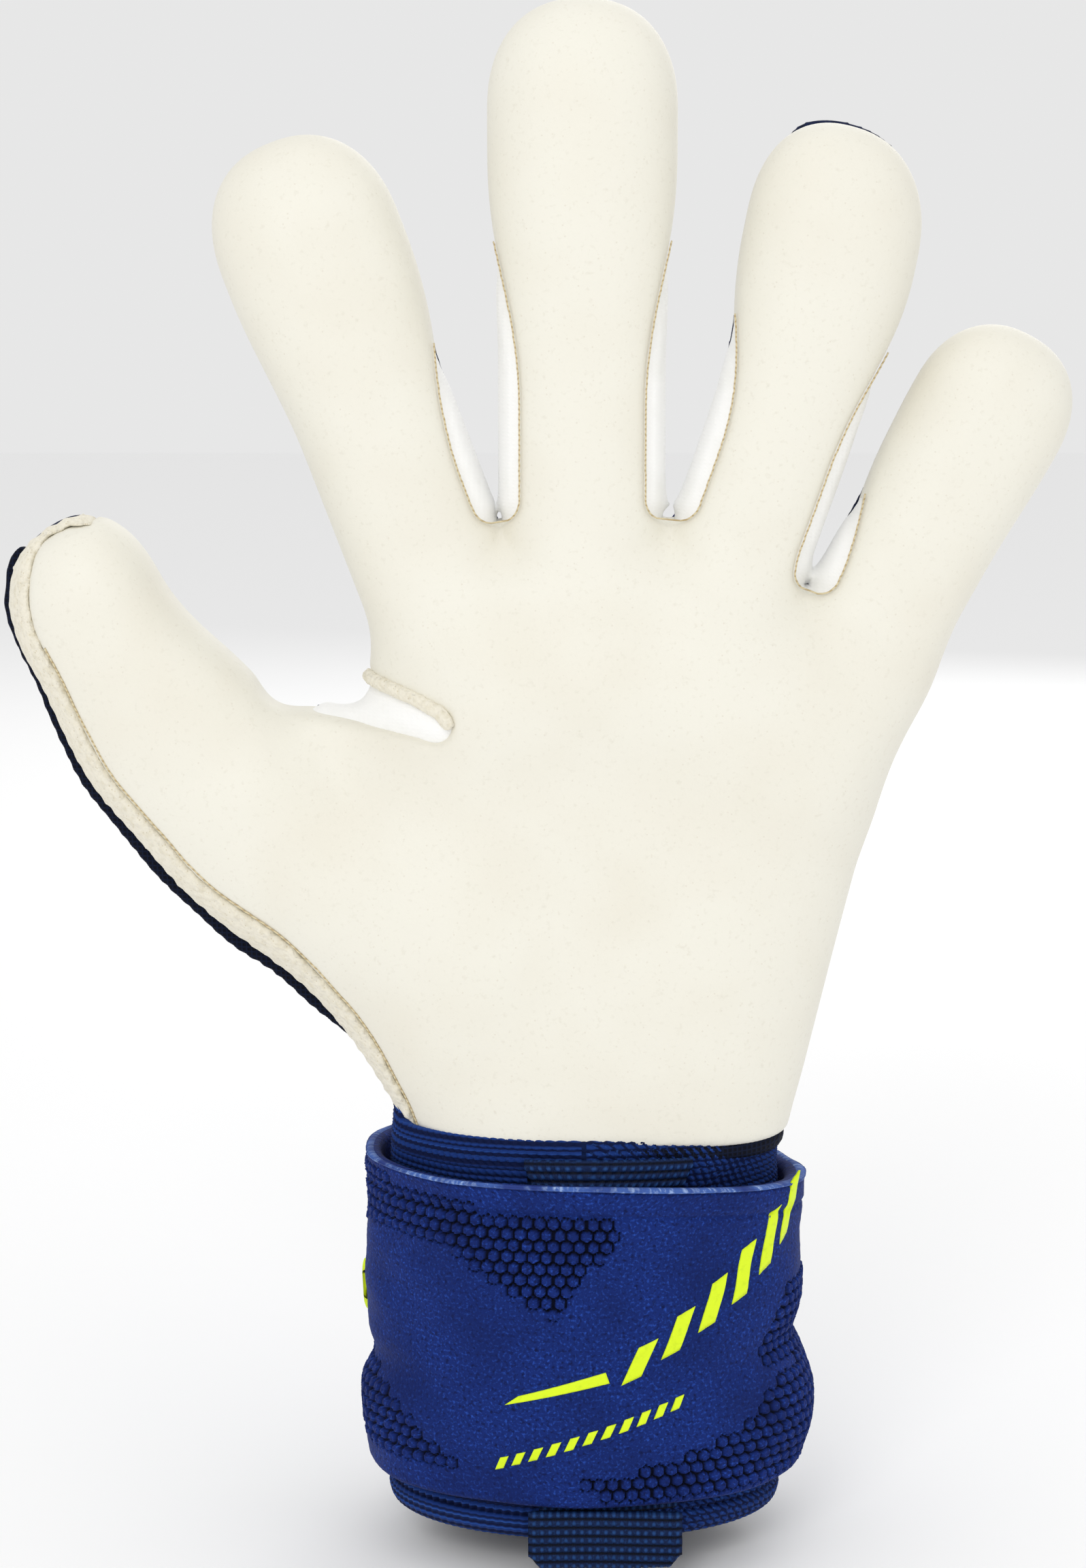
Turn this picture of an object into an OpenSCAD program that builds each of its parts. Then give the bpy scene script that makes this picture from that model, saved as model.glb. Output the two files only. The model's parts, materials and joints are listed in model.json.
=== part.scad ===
// Left-hand goalkeeper glove: latex palm, neoprene backhand, finger support stays and a wrap-round wrist strap.
// Millimetres. +Z runs up the fingers, the palm faces -Y and the thumb is on the -X side.
// The origin is the middle of the hand opening, at the rim of the cuff.

/* [Hand] */
// Height of the palm's lower edge above the cuff rim
palm_bottom = 73; // [72:0.5:76]
// Thickness of the padded latex and of the padded backhand
wall = 4.5; // [3.8:0.1:4.8]
// Thickness of the knitted lining
lining = 1; // [0.6:0.2:1.4]
// Thickness of the punching pad on the knuckles
pad_wall = 2.4; // [1.6:0.2:3]

/* [Fingers] */
// Length of the index finger above its web
index_length = 78.5; // [74:0.5:82]
// Length of the middle finger above its web
middle_length = 92; // [86:1:96]
// Length of the ring finger above its web
ring_length = 75; // [70:1:80]
// Length of the little finger above its web
little_length = 60.5; // [56:0.5:64]
// Length of the free part of the thumb
thumb_length = 66; // [62:1:70]
// How far each knuckle bends towards the palm, in degrees
knuckle_flex = 50; // [30:5:50]
// How far each middle joint bends towards the palm, in degrees
middle_flex = 55; // [30:5:55]

/* [Cuff and strap] */
// Half the width of the elastic bandage at its narrowest
cuff_half_width = 37.2; // [36:0.2:38]
// Half the depth of the elastic bandage at its narrowest
cuff_half_depth = 25; // [24:0.2:25.4]
// How far the cuff and its strap bulge below the wrist
cuff_bulge = 3; // [0:0.5:3.5]
// Thickness of the elastic bandage
bandage_wall = 2; // [1.6:0.2:2.4]
// Height of the strap's lower edge
strap_bottom = 8; // [6:1:12]
// Height of the strap's upper edge
strap_top = 67; // [60:1:67]
// Thickness of the neoprene strap
strap_wall = 2.6; // [2:0.2:3]
// Thickness of the hook pad and of the loop pad
pad_layer = 0.8; // [0.6:0.1:1]
// Width of the webbing
webbing_width = 28; // [24:1:32]
// Thickness of the webbing
webbing_wall = 1.2; // [1:0.1:1.4]
// How far the pull tab hangs below the rim
tab_drop = 3; // [1:1:10]
// Height at which the pull tab is sewn on
tab_sewn = 6.7; // [5:0.1:6.7]
// How far the webbing and its pull tab sit to the little finger's side
tab_shift = 3.5; // [-4:0.5:4]

/* [Support stays] */
// Width of a stay
stay_width = 8; // [6:1:9]
// Thickness of a stay
stay_wall = 1.8; // [1.4:0.1:2]
// Cover of backhand over a stay
stay_cover = 1.3; // [1.1:0.1:1.4]

/* [Hidden] */
finger_names = ["index", "middle", "ring", "little"];

latex_colour = "ivory";
strip_colour = "wheat";
gusset_colour = "white";
back_colour = "mediumblue";
dark_colour = "midnightblue";
stay_colour = "dimgray";

facets = 20;
far = 200;
// Gap on each side of a hinge between two rigid pieces
hinge_gap = 0.4;
// Clearance between pieces of one body
fit_gap = 0.15;
// Angle that leaves the same clearance between pieces side by side round a digit
edge_gap = 0.7;

// A digit: [x and z of its base at the web, lean from +Z, length, half width at the base, half width near
// the tip, half depth, sideways bow, length of the rounded tip, knuckle height, middle joint height,
// latex edges and backhand edges in degrees round from the palm side].
index_digit = [[-29, 181.2], -20.8, index_length, 15.2, 17, 14.3, 0, 21, 11, 38, [-112, 47], [112, 248]];
middle_digit = [[-0.8, 186.4], 0, middle_length, 15.7, 17.2, 14.7, 0, 21, 12, 42, [-47, 47], [112, 248]];
ring_digit = [[28.4, 183], 14.5, ring_length, 13.6, 15.8, 13.9, 2.2, 20, 11, 37, [-47, 47], [112, 248]];
little_digit = [[51.8, 167], 28.5, little_length, 13.7, 14.6, 13, 0, 18, 10, 31, [-47, 112], [112, 248]];
thumb_digit = [[-61, 130.4], -36, thumb_length, 19.5, 15.8, 15, -3, 19, 9, 36, [-53, 112], [112, 278]];
fingers = [index_digit, middle_digit, ring_digit, little_digit];
digits = concat(fingers, [thumb_digit]);
thumb_knuckle_flex = knuckle_flex - 10;
thumb_middle_flex = middle_flex - 5;
thumb_strip_edges = [-82, -53];
stub = 30;
stub_half_depth = 19;
stay_root = 6;

function base(d) = [d[0][0], 0, d[0][1]];
function lean(d) = d[1];
function length(d) = d[2];
function knuckle(d) = d[8];
function middle(d) = d[9];
function latex_edges(d) = d[10];
function back_edges(d) = d[11];
function along(angle) = [sin(angle), 0, cos(angle)];
function across(angle) = [cos(angle), 0, -sin(angle)];
function smooth(x) = let (t = min(max(x, 0), 1)) t * t * (3 - 2 * t);

// An upright ellipse of points round a centre, leaning by an angle in the plane of the hand
function ring(centre, angle, w, h) =
    [for (i = [0 : facets - 1]) let (a = 360 * i / facets) centre + w * sin(a) * across(angle) + [0, -h * cos(a), 0]];

// A digit's section at a height, set in from its surface
function tip_start(d) = length(d) - d[7];
function tip_share(d, s, inset) =
    s <= tip_start(d) ? 1 : sqrt(max(0, 1 - pow((s - tip_start(d)) / (d[7] - inset), 2)));
function half_width(d, s) = d[3] + (d[4] - d[3]) * smooth((s / length(d) - 0.3) / 0.4);
function half_depth(d, s) = d[5] + (stub_half_depth - d[5]) * max(0, -s) / stub;
function bow(d, s) = s <= 0 ? 0 : d[6] * sin(180 * min(s / length(d), 1));
function digit_ring(d, s, inset) =
    ring(base(d) + s * along(lean(d)) + bow(d, s) * across(lean(d)), lean(d),
         (half_width(d, s) - inset) * tip_share(d, s, inset), (half_depth(d, s) - inset) * tip_share(d, s, inset));
function digit_rings(d, inset) =
    concat([for (s = [-stub, 0]) digit_ring(d, s, inset)],
           [for (i = [1 : 4]) digit_ring(d, tip_start(d) * (0.25 + 0.75 * i / 4), inset)],
           [for (a = [32, 56, 76]) digit_ring(d, tip_start(d) + (d[7] - inset) * sin(a), inset)]);

// A solid through a list of rings
module loft(rings)
    for (i = [1 : len(rings) - 1])
        hull()
            polyhedron(points = concat(rings[i - 1], rings[i]),
                       faces = [[for (j = [0 : facets - 1]) j], [for (j = [0 : facets - 1]) facets + j]]);

module digit_form(d, inset) loft(digit_rings(d, inset));

// The frame of a digit: local Z along it, local X across it, -Y to the palm
module at_digit(d) translate(base(d)) rotate([0, lean(d), 0]) children();

// What lies above or below a joint: the palm side is cut back so that the joint can bend by an angle
module above(d, s, flex)
    at_digit(d) rotate([90, 0, 90]) translate([0, 0, -far / 2]) linear_extrude(far)
        polygon([[-far, s + hinge_gap + far * tan(flex / 2)], [0, s + hinge_gap], [far, s + hinge_gap],
                 [far, far * 2], [-far, far * 2]]);
module below(d, s, flex)
    at_digit(d) rotate([90, 0, 90]) translate([0, 0, -far / 2]) linear_extrude(far)
        polygon([[-far, s - hinge_gap - far * tan(flex / 2)], [0, s - hinge_gap], [far, s - hinge_gap],
                 [far, -far * 2], [-far, -far * 2]]);

// A slice of pie round a digit's axis, between two angles from the palm side
module pie(edges)
    polygon(concat([[0, 0]], [for (i = [0 : 8]) let (a = edges[0] + (edges[1] - edges[0]) * i / 8)
                              far * [sin(a), -cos(a)]]));
module sector(d, edges)
    at_digit(d) translate([0, 0, -far / 2]) linear_extrude(far * 2) pie(edges + [edge_gap, -edge_gap]);

module stay_bar(d, from, to, grow = 0)
    at_digit(d) translate([-stay_width / 2 - grow, half_depth(d, 0) - stay_cover - stay_wall - grow, from])
        cube([stay_width + 2 * grow, stay_wall + 2 * grow, to - from]);

// Knuckle and middle joint bends of a digit
function flexes(d) = d == thumb_digit ? [thumb_knuckle_flex, thumb_middle_flex] : [knuckle_flex, middle_flex];
function stay_end(d) = tip_start(d) - 3;

module lower_piece(d, edges) intersection() {
    difference() {
        digit_form(d, 0);
        digit_form(d, wall);
    }
    sector(d, edges);
    above(d, knuckle(d), flexes(d)[0]);
    below(d, middle(d), flexes(d)[1]);
}
module upper_piece(d, edges) intersection() {
    difference() {
        digit_form(d, 0);
        digit_form(d, wall);
    }
    sector(d, edges);
    above(d, middle(d), flexes(d)[1]);
}
module lower_latex(d) color(latex_colour) lower_piece(d, latex_edges(d));
module lower_gusset(d) color(gusset_colour) {
    if (latex_edges(d)[0] > -90) lower_piece(d, [back_edges(d)[1] - 360, latex_edges(d)[0]]);
    if (latex_edges(d)[1] < 90) lower_piece(d, [latex_edges(d)[1], back_edges(d)[0]]);
}
module lower_back(d) color(back_colour) difference() {
    lower_piece(d, back_edges(d));
    stay_bar(d, 0, length(d), fit_gap);
}
module lower_stay(d) color(stay_colour) stay_bar(d, knuckle(d) + 2 * hinge_gap, middle(d) - 2 * hinge_gap);
module upper_latex(d)
    color(latex_colour) upper_piece(d, d == thumb_digit ? latex_edges(d) : [back_edges(d)[1] - 360, back_edges(d)[0]]);
module upper_back(d) color(back_colour) difference() {
    upper_piece(d, back_edges(d));
    stay_bar(d, 0, stay_end(d) + fit_gap, fit_gap);
}
module upper_stay(d) color(stay_colour) stay_bar(d, middle(d) + 2 * hinge_gap, stay_end(d));
module lower_edge_strip(d) color(strip_colour) lower_piece(d, thumb_strip_edges);
module upper_edge_strip(d) color(strip_colour) upper_piece(d, thumb_strip_edges);

// The hand below the webs. Each palm station: height, left edge, right edge, half depth.
palm_stations = [[60, -36.5, 37.5, 23.5], [85, -38.5, 40.5, 24], [106, -40, 45.5, 23.5],
                 [130, -40.5, 51.5, 22], [157, -40, 61, 19]];
web_top = 149;
function station_ring(p, inset) =
    ring([(p[1] + p[2]) / 2, 0, p[0]], 0, (p[2] - p[1]) / 2 - inset, p[3] - inset);
module palm_form(inset) loft([for (p = palm_stations) station_ring(p, inset)]);
module thumb_root_form(inset)
    loft([ring([-22, 0, 103], -45, 24 - inset, 23 - inset), digit_ring(thumb_digit, 0, inset)]);
module hand_form(inset) {
    palm_form(inset);
    thumb_root_form(inset);
    loft([ring([-34, 0, 138], -60, 12 - inset, 11 - inset), ring([-50, 0, 143.5], -60, 6 - inset / 2, 8 - inset)]);
    for (d = digits)
        loft([digit_ring(d, d == thumb_digit ? 0 : -stub, inset), digit_ring(d, 0, inset),
              digit_ring(d, knuckle(d) + 3, inset)]);
}

module half_space(normal_up, z) translate([-far, -far, normal_up ? z : z - 2 * far]) cube(2 * far);

// The hand's shell between two insets, cut off at every knuckle and at the wrist
module hand_shell(outer, inner, bottom) difference() {
    hand_form(outer);
    hand_form(inner);
    half_space(false, bottom);
    for (d = digits) above_knuckle(d);
}
function cut_margin(d) = d == thumb_digit ? 8 : 1.5;
// The part of a digit that a knuckle cuts off, kept clear of its neighbours' roots
module above_knuckle(d) intersection() {
    difference() {
        at_digit(d) translate([-far / 2, -far / 2, -far]) cube([far, far, 3 * far]);
        below(d, knuckle(d), flexes(d)[0]);
    }
    at_digit(d) translate([-half_width(d, 0) - cut_margin(d), -far / 2, -10])
        cube([2 * (half_width(d, 0) + cut_margin(d)), far, far]);
}

// The side of the hand where the thumb joins: below the thumb's web, and all of the thumb beside it
thumb_side_x = -12;
thumb_only_x = -47;
thumb_top = 165;
module thumb_side(y_low, y_high) {
    translate([-far, y_low, 0]) cube([far + thumb_side_x, y_high - y_low, web_top - 4]);
    translate([-far, y_low, 0]) cube([far + thumb_only_x, y_high - y_low, thumb_top]);
}
strip_front = -8;
strip_back = -0.5;
roll_back = 7;
gusset_front = -10;
// Webs between the fingers: x and z of the crotch and the lean of the gap
webs = [[-16.3, 186, -10], [15, 186.4, 7], [40, 173.6, 21]];
web_half_width = 4.2;
web_depth = 7;
module web_blocks(grow)
    for (w = webs)
        translate([w[0], 0, w[1]]) rotate([0, w[2], 0])
            translate([-web_half_width - grow, gusset_front - grow, -web_depth - grow])
                cube([2 * (web_half_width + grow), roll_back - gusset_front + 2 * grow, 40]);
// The slot in the latex above the thumb's web, and the gusset behind it
thumb_web_corner = [-62, -14, web_top - 5];
thumb_web_size = [36, 20, 6];
module thumb_web_block(grow)
    translate(thumb_web_corner - [0, grow, grow]) cube(thumb_web_size + [grow, 2 * grow, 2 * grow]);

module front_of_hand() {
    difference() {
        translate([-far, -far, 0]) cube([2 * far, far + roll_back, 2 * far]);
        thumb_side(-far, far);
    }
    thumb_side(-far, strip_front);
}
module palm_latex() color(latex_colour) intersection() {
    difference() {
        hand_shell(0, wall, palm_bottom + 3 + fit_gap);
        web_blocks(fit_gap);
        thumb_web_block(fit_gap);
    }
    front_of_hand();
}
module palm_binding() color(dark_colour) difference() {
    intersection() {
        hand_shell(0, wall, palm_bottom);
        front_of_hand();
    }
    half_space(true, palm_bottom + 3);
}
module palm_edge_strip() color(strip_colour) difference() {
    intersection() {
        hand_shell(0, wall, palm_bottom);
        thumb_side(strip_front + fit_gap, strip_back);
    }
    thumb_web_block(fit_gap);
}
module backhand_panel() color(back_colour) difference() {
    hand_shell(0, wall, palm_bottom);
    front_and_strip();
    web_blocks(fit_gap);
    thumb_web_block(fit_gap);
    for (d = digits) stay_bar(d, -stay_root - fit_gap, length(d), fit_gap);
}
// The front of the hand with the edge strip, for cutting the backhand
module front_and_strip() {
    translate([0, fit_gap, 0]) front_of_hand();
    thumb_side(-far, strip_back + fit_gap);
}
module finger_web_gussets() color(gusset_colour) intersection() {
    hand_shell(0, wall, palm_bottom);
    web_blocks(0);
}
module thumb_web_gusset() color(gusset_colour) intersection() {
    hand_shell(0, wall, palm_bottom);
    thumb_web_block(0);
}
lining_top = 148;
module hand_lining() color(gusset_colour) difference() {
    palm_form(wall + fit_gap);
    palm_form(wall + fit_gap + lining);
    thumb_root_form(wall - 1);
    half_space(false, palm_bottom);
    half_space(true, lining_top);
}
pad_corner = [-18, 0, 120];
pad_size = [48, far, 28];
module knuckle_pad() color(dark_colour) intersection() {
    difference() {
        palm_form(-pad_wall);
        palm_form(-fit_gap);
    }
    translate(pad_corner) cube(pad_size);
}
module stay_roots() color(stay_colour)
    for (d = digits) stay_bar(d, -stay_root, knuckle(d) - 2 * hinge_gap);

// The cuff: sections that bulge gently below the wrist
bulge_height = 22;
bulge_spread = 16;
function bulge(z) = cuff_bulge * exp(-pow((z - bulge_height) / bulge_spread, 2));
function cuff_ring(z, grow) = ring([0, 0, z], 0, cuff_half_width + bulge(z) + grow, cuff_half_depth + bulge(z) + grow);
module cuff_form(z0, z1, grow)
    loft([for (i = [0 : 5]) cuff_ring(z0 + (z1 - z0) * i / 5, grow)]);
module cuff_tube(z0, z1, outer, inner) difference() {
    cuff_form(z0, z1, outer);
    cuff_form(z0 - 1, z1 + 1, inner);
}
module cuff_sector(z0, z1, outer, inner, edges) intersection() {
    cuff_tube(z0, z1, outer, inner);
    translate([0, 0, z0 - 10]) linear_extrude(z1 - z0 + 20) pie(edges);
}

hem_height = 4;
strap_inner = webbing_wall + 2 * fit_gap;
strap_outer = strap_inner + strap_wall;
layer_gap = 0.4;
loop_inner = strap_outer + layer_gap;
hook_inner = loop_inner + pad_layer + layer_gap;
tail_inner = hook_inner + pad_layer + layer_gap;
tail_outer = tail_inner + strap_wall;
strap_start = 172;
strap_fold = 128;
tail_fold = 168;
tail_tip = 236;
strap_tab_reach = 12;
strap_tab_heights = [30, 45];
strap_tab_inset = 0.6;
// How far the loop pad and the hook pad stay inside the strap's edges
loop_margin = 8;
hook_margin = 9;
hook_end_margin = 6;
webbing_half_angle = 21;
webbing_middle = asin(tab_shift / cuff_half_width);
webbing_edges = [webbing_middle - webbing_half_angle, webbing_middle + webbing_half_angle];
tab_inner = cuff_half_depth + bulge(strap_bottom) + webbing_wall + 2 * fit_gap;

module wrist_bandage() color(dark_colour) cuff_tube(hem_height + fit_gap, strap_top - 0.5, 0, -bandage_wall);
module cuff_hem() color(dark_colour) cuff_tube(0, hem_height, 0.4, -bandage_wall - 0.4);
module webbing_strip() color(dark_colour)
    cuff_sector(hem_height + 1, strap_top - 0.5, fit_gap + webbing_wall, fit_gap, webbing_edges);
module pull_tab() color(dark_colour)
    translate([tab_shift - webbing_width / 2, -tab_inner - webbing_wall, -tab_drop])
        cube([webbing_width, webbing_wall, tab_drop + tab_sewn]);
module strap_wrap() color(back_colour)
    cuff_sector(strap_bottom, strap_top, strap_outer, strap_inner, [strap_start - 360, strap_fold]);
module loop_pad() color(dark_colour)
    cuff_sector(strap_bottom + loop_margin, strap_top - loop_margin, loop_inner + pad_layer, loop_inner,
                [strap_start + 2, tail_tip - 4]);
module strap_tail() color(back_colour)
    cuff_sector(strap_bottom, strap_top, tail_outer, tail_inner, [strap_fold, tail_fold]);
module strap_end() color(back_colour)
    cuff_sector(strap_bottom, strap_top, tail_outer, tail_inner, [tail_fold + edge_gap, tail_tip]);
module hook_pad() color(dark_colour)
    cuff_sector(strap_bottom + hook_margin, strap_top - hook_margin, hook_inner + pad_layer, hook_inner,
                [tail_fold + hook_end_margin, tail_tip - hook_end_margin]);
module strap_finger_tab() color(dark_colour)
    cuff_sector(strap_tab_heights[0], strap_tab_heights[1],
                tail_outer - strap_tab_inset, tail_inner + strap_tab_inset,
                [tail_tip + edge_gap / 3, tail_tip + strap_tab_reach]);

palm_latex();
palm_edge_strip();
palm_binding();
backhand_panel();
hand_lining();
knuckle_pad();
finger_web_gussets();
thumb_web_gusset();
stay_roots();
for (i = [0 : 3]) {
    lower_latex(fingers[i]);
    lower_gusset(fingers[i]);
    lower_back(fingers[i]);
    lower_stay(fingers[i]);
    upper_latex(fingers[i]);
    upper_back(fingers[i]);
    upper_stay(fingers[i]);
}
lower_latex(thumb_digit);  // thumb_lower_latex
lower_edge_strip(thumb_digit);  // thumb_lower_edge_strip
lower_back(thumb_digit);  // thumb_lower_back
lower_stay(thumb_digit);  // thumb_lower_stay
upper_latex(thumb_digit);  // thumb_upper_latex
upper_edge_strip(thumb_digit);  // thumb_upper_edge_strip
upper_back(thumb_digit);  // thumb_upper_back
upper_stay(thumb_digit);  // thumb_upper_stay
wrist_bandage();
cuff_hem();
webbing_strip();
pull_tab();
strap_wrap();
loop_pad();
strap_tail();
strap_end();
hook_pad();
strap_finger_tab();
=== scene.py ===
"""A left-hand goalkeeper glove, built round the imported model.

Forms are worked out in millimetres and become metres where a mesh or a place is made.
"""

import json
import math

import bmesh
import bpy
import numpy as np
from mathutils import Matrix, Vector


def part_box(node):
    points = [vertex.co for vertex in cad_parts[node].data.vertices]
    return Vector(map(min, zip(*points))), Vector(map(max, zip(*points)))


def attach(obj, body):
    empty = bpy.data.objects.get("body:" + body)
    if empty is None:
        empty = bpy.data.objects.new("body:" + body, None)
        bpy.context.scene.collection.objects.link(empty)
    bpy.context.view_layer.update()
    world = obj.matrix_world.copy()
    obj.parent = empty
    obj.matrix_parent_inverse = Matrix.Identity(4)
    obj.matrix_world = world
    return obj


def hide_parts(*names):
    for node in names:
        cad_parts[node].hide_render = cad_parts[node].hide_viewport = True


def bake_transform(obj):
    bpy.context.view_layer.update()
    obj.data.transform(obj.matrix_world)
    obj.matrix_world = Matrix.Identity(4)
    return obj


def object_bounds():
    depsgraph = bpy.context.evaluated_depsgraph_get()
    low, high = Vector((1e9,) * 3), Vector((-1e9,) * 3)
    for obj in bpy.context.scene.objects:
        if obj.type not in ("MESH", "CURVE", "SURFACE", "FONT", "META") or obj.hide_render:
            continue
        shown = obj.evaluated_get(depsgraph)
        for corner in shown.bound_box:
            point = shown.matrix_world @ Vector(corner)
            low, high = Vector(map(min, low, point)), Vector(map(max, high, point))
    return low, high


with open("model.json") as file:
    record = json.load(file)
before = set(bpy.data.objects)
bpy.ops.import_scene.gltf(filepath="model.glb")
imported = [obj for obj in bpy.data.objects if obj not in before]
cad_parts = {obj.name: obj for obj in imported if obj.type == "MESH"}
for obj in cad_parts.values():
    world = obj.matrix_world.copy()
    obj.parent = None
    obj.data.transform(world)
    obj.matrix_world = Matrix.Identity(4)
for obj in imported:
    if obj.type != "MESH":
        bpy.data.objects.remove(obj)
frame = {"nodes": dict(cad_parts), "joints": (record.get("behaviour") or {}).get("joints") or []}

import openvdb
from mathutils import Vector

cad_low, cad_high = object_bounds()
JOINTS = {j["name"]: j for j in frame["joints"]}
MM = 0.001

# ---------------------------------------- camera, light and floor

def put(thing, place, aim):
    """Puts a camera or a lamp in the scene, looking at a point."""
    thing.location = place
    thing.rotation_mode = "QUATERNION"
    thing.rotation_quaternion = (Vector(aim) - Vector(place)).to_track_quat("-Z", "Y")
    bpy.context.scene.collection.objects.link(thing)


def make_camera():
    """Seen from a little above the wrist, with the fingers rising past the eye line."""
    distance, elevation, aim = 0.62, math.radians(9.5), Vector((-0.0078, 0, 0.137))
    data = bpy.data.cameras.new("camera")
    data.lens, data.sensor_width = 77.5, 36
    data.clip_start, data.clip_end = 0.05, 20
    camera = bpy.data.objects.new("camera", data)
    put(camera, aim + distance * Vector((0, -math.cos(elevation), math.sin(elevation))), aim)
    bpy.context.scene.camera = camera


def area_light(name, place, aim, size, power):
    data = bpy.data.lights.new(name, "AREA")
    data.shape, data.size, data.energy = "DISK", size, power
    put(bpy.data.objects.new(name, data), place, aim)


def make_stage():
    area_light("key", (-0.30, -1.05, 0.75), (0, 0, 0.13), 0.55, 3.4)
    area_light("fill", (0.85, -0.75, 0.30), (0, 0, 0.12), 0.8, 0.7)
    area_light("top", (0.05, 0.1, 1.2), (0, 0, 0.15), 0.8, 1.1)
    area_light("back", (0.3, 1.05, 0.6), (0, 0, 0.15), 0.8, 2.5)
    world = bpy.data.worlds.new("studio")
    world.use_nodes = True
    background = world.node_tree.nodes["Background"].inputs
    background[0].default_value, background[1].default_value = (1.0, 1.0, 1.0, 1), 0.80
    bpy.context.scene.world = world
    mesh = bpy.data.meshes.new("floor")
    half, drop = 3.0, cad_low.z - 0.004
    mesh.from_pydata([(-half, -half, drop), (half, -half, drop), (half, half, drop), (-half, half, drop)],
                     [], [(0, 1, 2, 3)])
    floor = bpy.data.objects.new("floor", mesh)
    bpy.context.scene.collection.objects.link(floor)
    material = bpy.data.materials.new("floor")
    material.use_nodes = True
    shader = material.node_tree.nodes["Principled BSDF"].inputs
    shader["Base Color"].default_value, shader["Roughness"].default_value = (0.97, 0.97, 0.97, 1), 0.9
    mesh.materials.append(material)


make_camera()
make_stage()
bpy.context.scene.view_settings.view_transform = "Standard"

# ---------------------------------------- finishes

DULL = 0.12  # specular level of brushed and knitted cloth


class Look:
    """A node material: tints and reliefs are stacked on textures whose sizes are in millimetres."""

    def __init__(self, name, color, roughness, coordinates="Object", **sockets):
        self.material = bpy.data.materials.new(name)
        self.material.use_nodes = True
        self.tree = self.material.node_tree
        self.shader = self.tree.nodes["Principled BSDF"]
        self.where = self.tree.nodes.new("ShaderNodeTexCoord").outputs[coordinates]
        self.color, self.normal = (*color, 1), None
        for socket, value in {"Base_Color": self.color, "Roughness": roughness, **sockets}.items():
            self.shader.inputs[socket.replace("_", " ")].default_value = value

    def node(self, kind, inputs, **settings):
        """A node with its settings, and with a value or a link for each input."""
        made = self.tree.nodes.new("ShaderNode" + kind)
        for key, value in settings.items():
            setattr(made, key, value)
        for key, value in inputs.items():
            if isinstance(value, bpy.types.NodeSocket):
                self.tree.links.new(value, made.inputs[key])
            else:
                made.inputs[key].default_value = value
        return made

    def attribute(self, name):
        return self.node("Attribute", {}, attribute_name=name).outputs["Fac"]

    def noise(self, size, detail=3):
        inputs = {"Scale": 1000 / size, "Detail": detail, "Vector": self.where}
        return self.node("TexNoise", inputs).outputs["Fac"]

    def cells(self, size, feature="F1"):
        inputs = {"Scale": 1000 / size, "Vector": self.where}
        return self.node("TexVoronoi", inputs, feature=feature).outputs["Distance"]

    def bands(self, size, direction, waver=0.0):
        """Ridges across one direction, size from ridge to ridge: at scale 1 they are 2 pi / 20 apart."""
        inputs = {"Scale": 1000 / size * 2 * math.pi / 20, "Distortion": waver, "Detail Scale": 1.5,
                  "Vector": self.where}
        made = self.node("TexWave", inputs, wave_type="BANDS", bands_direction=direction, wave_profile="SIN")
        return made.outputs["Fac"]

    def math(self, operation, a, b):
        return self.node("Math", {0: a, 1: b}, operation=operation).outputs[0]

    def tint(self, value, color, low=0.0, high=1.0):
        """Goes over to color where value rises from low to high."""
        share = self.node("MapRange", {"From Min": low, "From Max": high, "Value": value}, clamp=True)
        ends = {"Factor": share.outputs[0], "A": self.color, "B": (*color, 1)}
        mix = self.node("Mix", ends, data_type="RGBA")
        self.color = mix.outputs["Result"]
        self.tree.links.new(self.color, self.shader.inputs["Base Color"])
        return self

    def relief(self, value, depth, strength=1.0):
        under = {} if self.normal is None else {"Normal": self.normal}
        bump = self.node("Bump", {"Distance": depth * MM, "Strength": strength, "Height": value, **under})
        self.normal = bump.outputs[0]
        self.tree.links.new(self.normal, self.shader.inputs["Normal"])
        return self

    def shine(self, value, low, high):
        """Roughness runs from low to high with value."""
        made = self.node("MapRange", {"To Min": low, "To Max": high, "Value": value}, clamp=True)
        self.tree.links.new(made.outputs[0], self.shader.inputs["Roughness"])
        return self


def latex_look():
    look = Look("latex_foam", (0.83, 0.808, 0.715), 0.58, Sheen_Weight=0.08, Sheen_Roughness=0.4)
    look.tint(look.noise(24, 2), (0.79, 0.755, 0.65), 0.42, 0.85)
    look.tint(look.noise(0.9, 4), (0.74, 0.71, 0.61), 0.58, 0.85)
    look.tint(look.cells(1.7), (0.74, 0.70, 0.60), 0.13, 0.03)
    return look.relief(look.noise(0.6, 3), 0.09, 0.6).relief(look.noise(8, 2), 0.4, 0.4).material


def fuzz_look():
    look = Look("cut_foam_edge", (0.84, 0.795, 0.67), 0.9, Sheen_Weight=0.15)
    pores, rough = look.cells(0.9), look.noise(1.3, 5)
    look.tint(rough, (0.72, 0.66, 0.50), 0.48, 0.85)
    look.tint(pores, (0.62, 0.54, 0.38), 0.22, 0.04)
    return look.relief(pores, 0.30, 0.8).relief(rough, 0.5, 0.8).material


def gusset_look():
    look = Look("white_stretch_knit", (0.95, 0.95, 0.94), 0.7, Sheen_Weight=0.2)
    knit = look.math("MULTIPLY", look.bands(0.9, "X", 0.4), look.bands(0.7, "Z", 0.4))
    look.tint(look.noise(9, 2), (0.88, 0.88, 0.85), 0.5, 0.9)
    return look.relief(knit, 0.10, 0.4).relief(look.noise(4, 2), 0.3, 0.3).material


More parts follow.
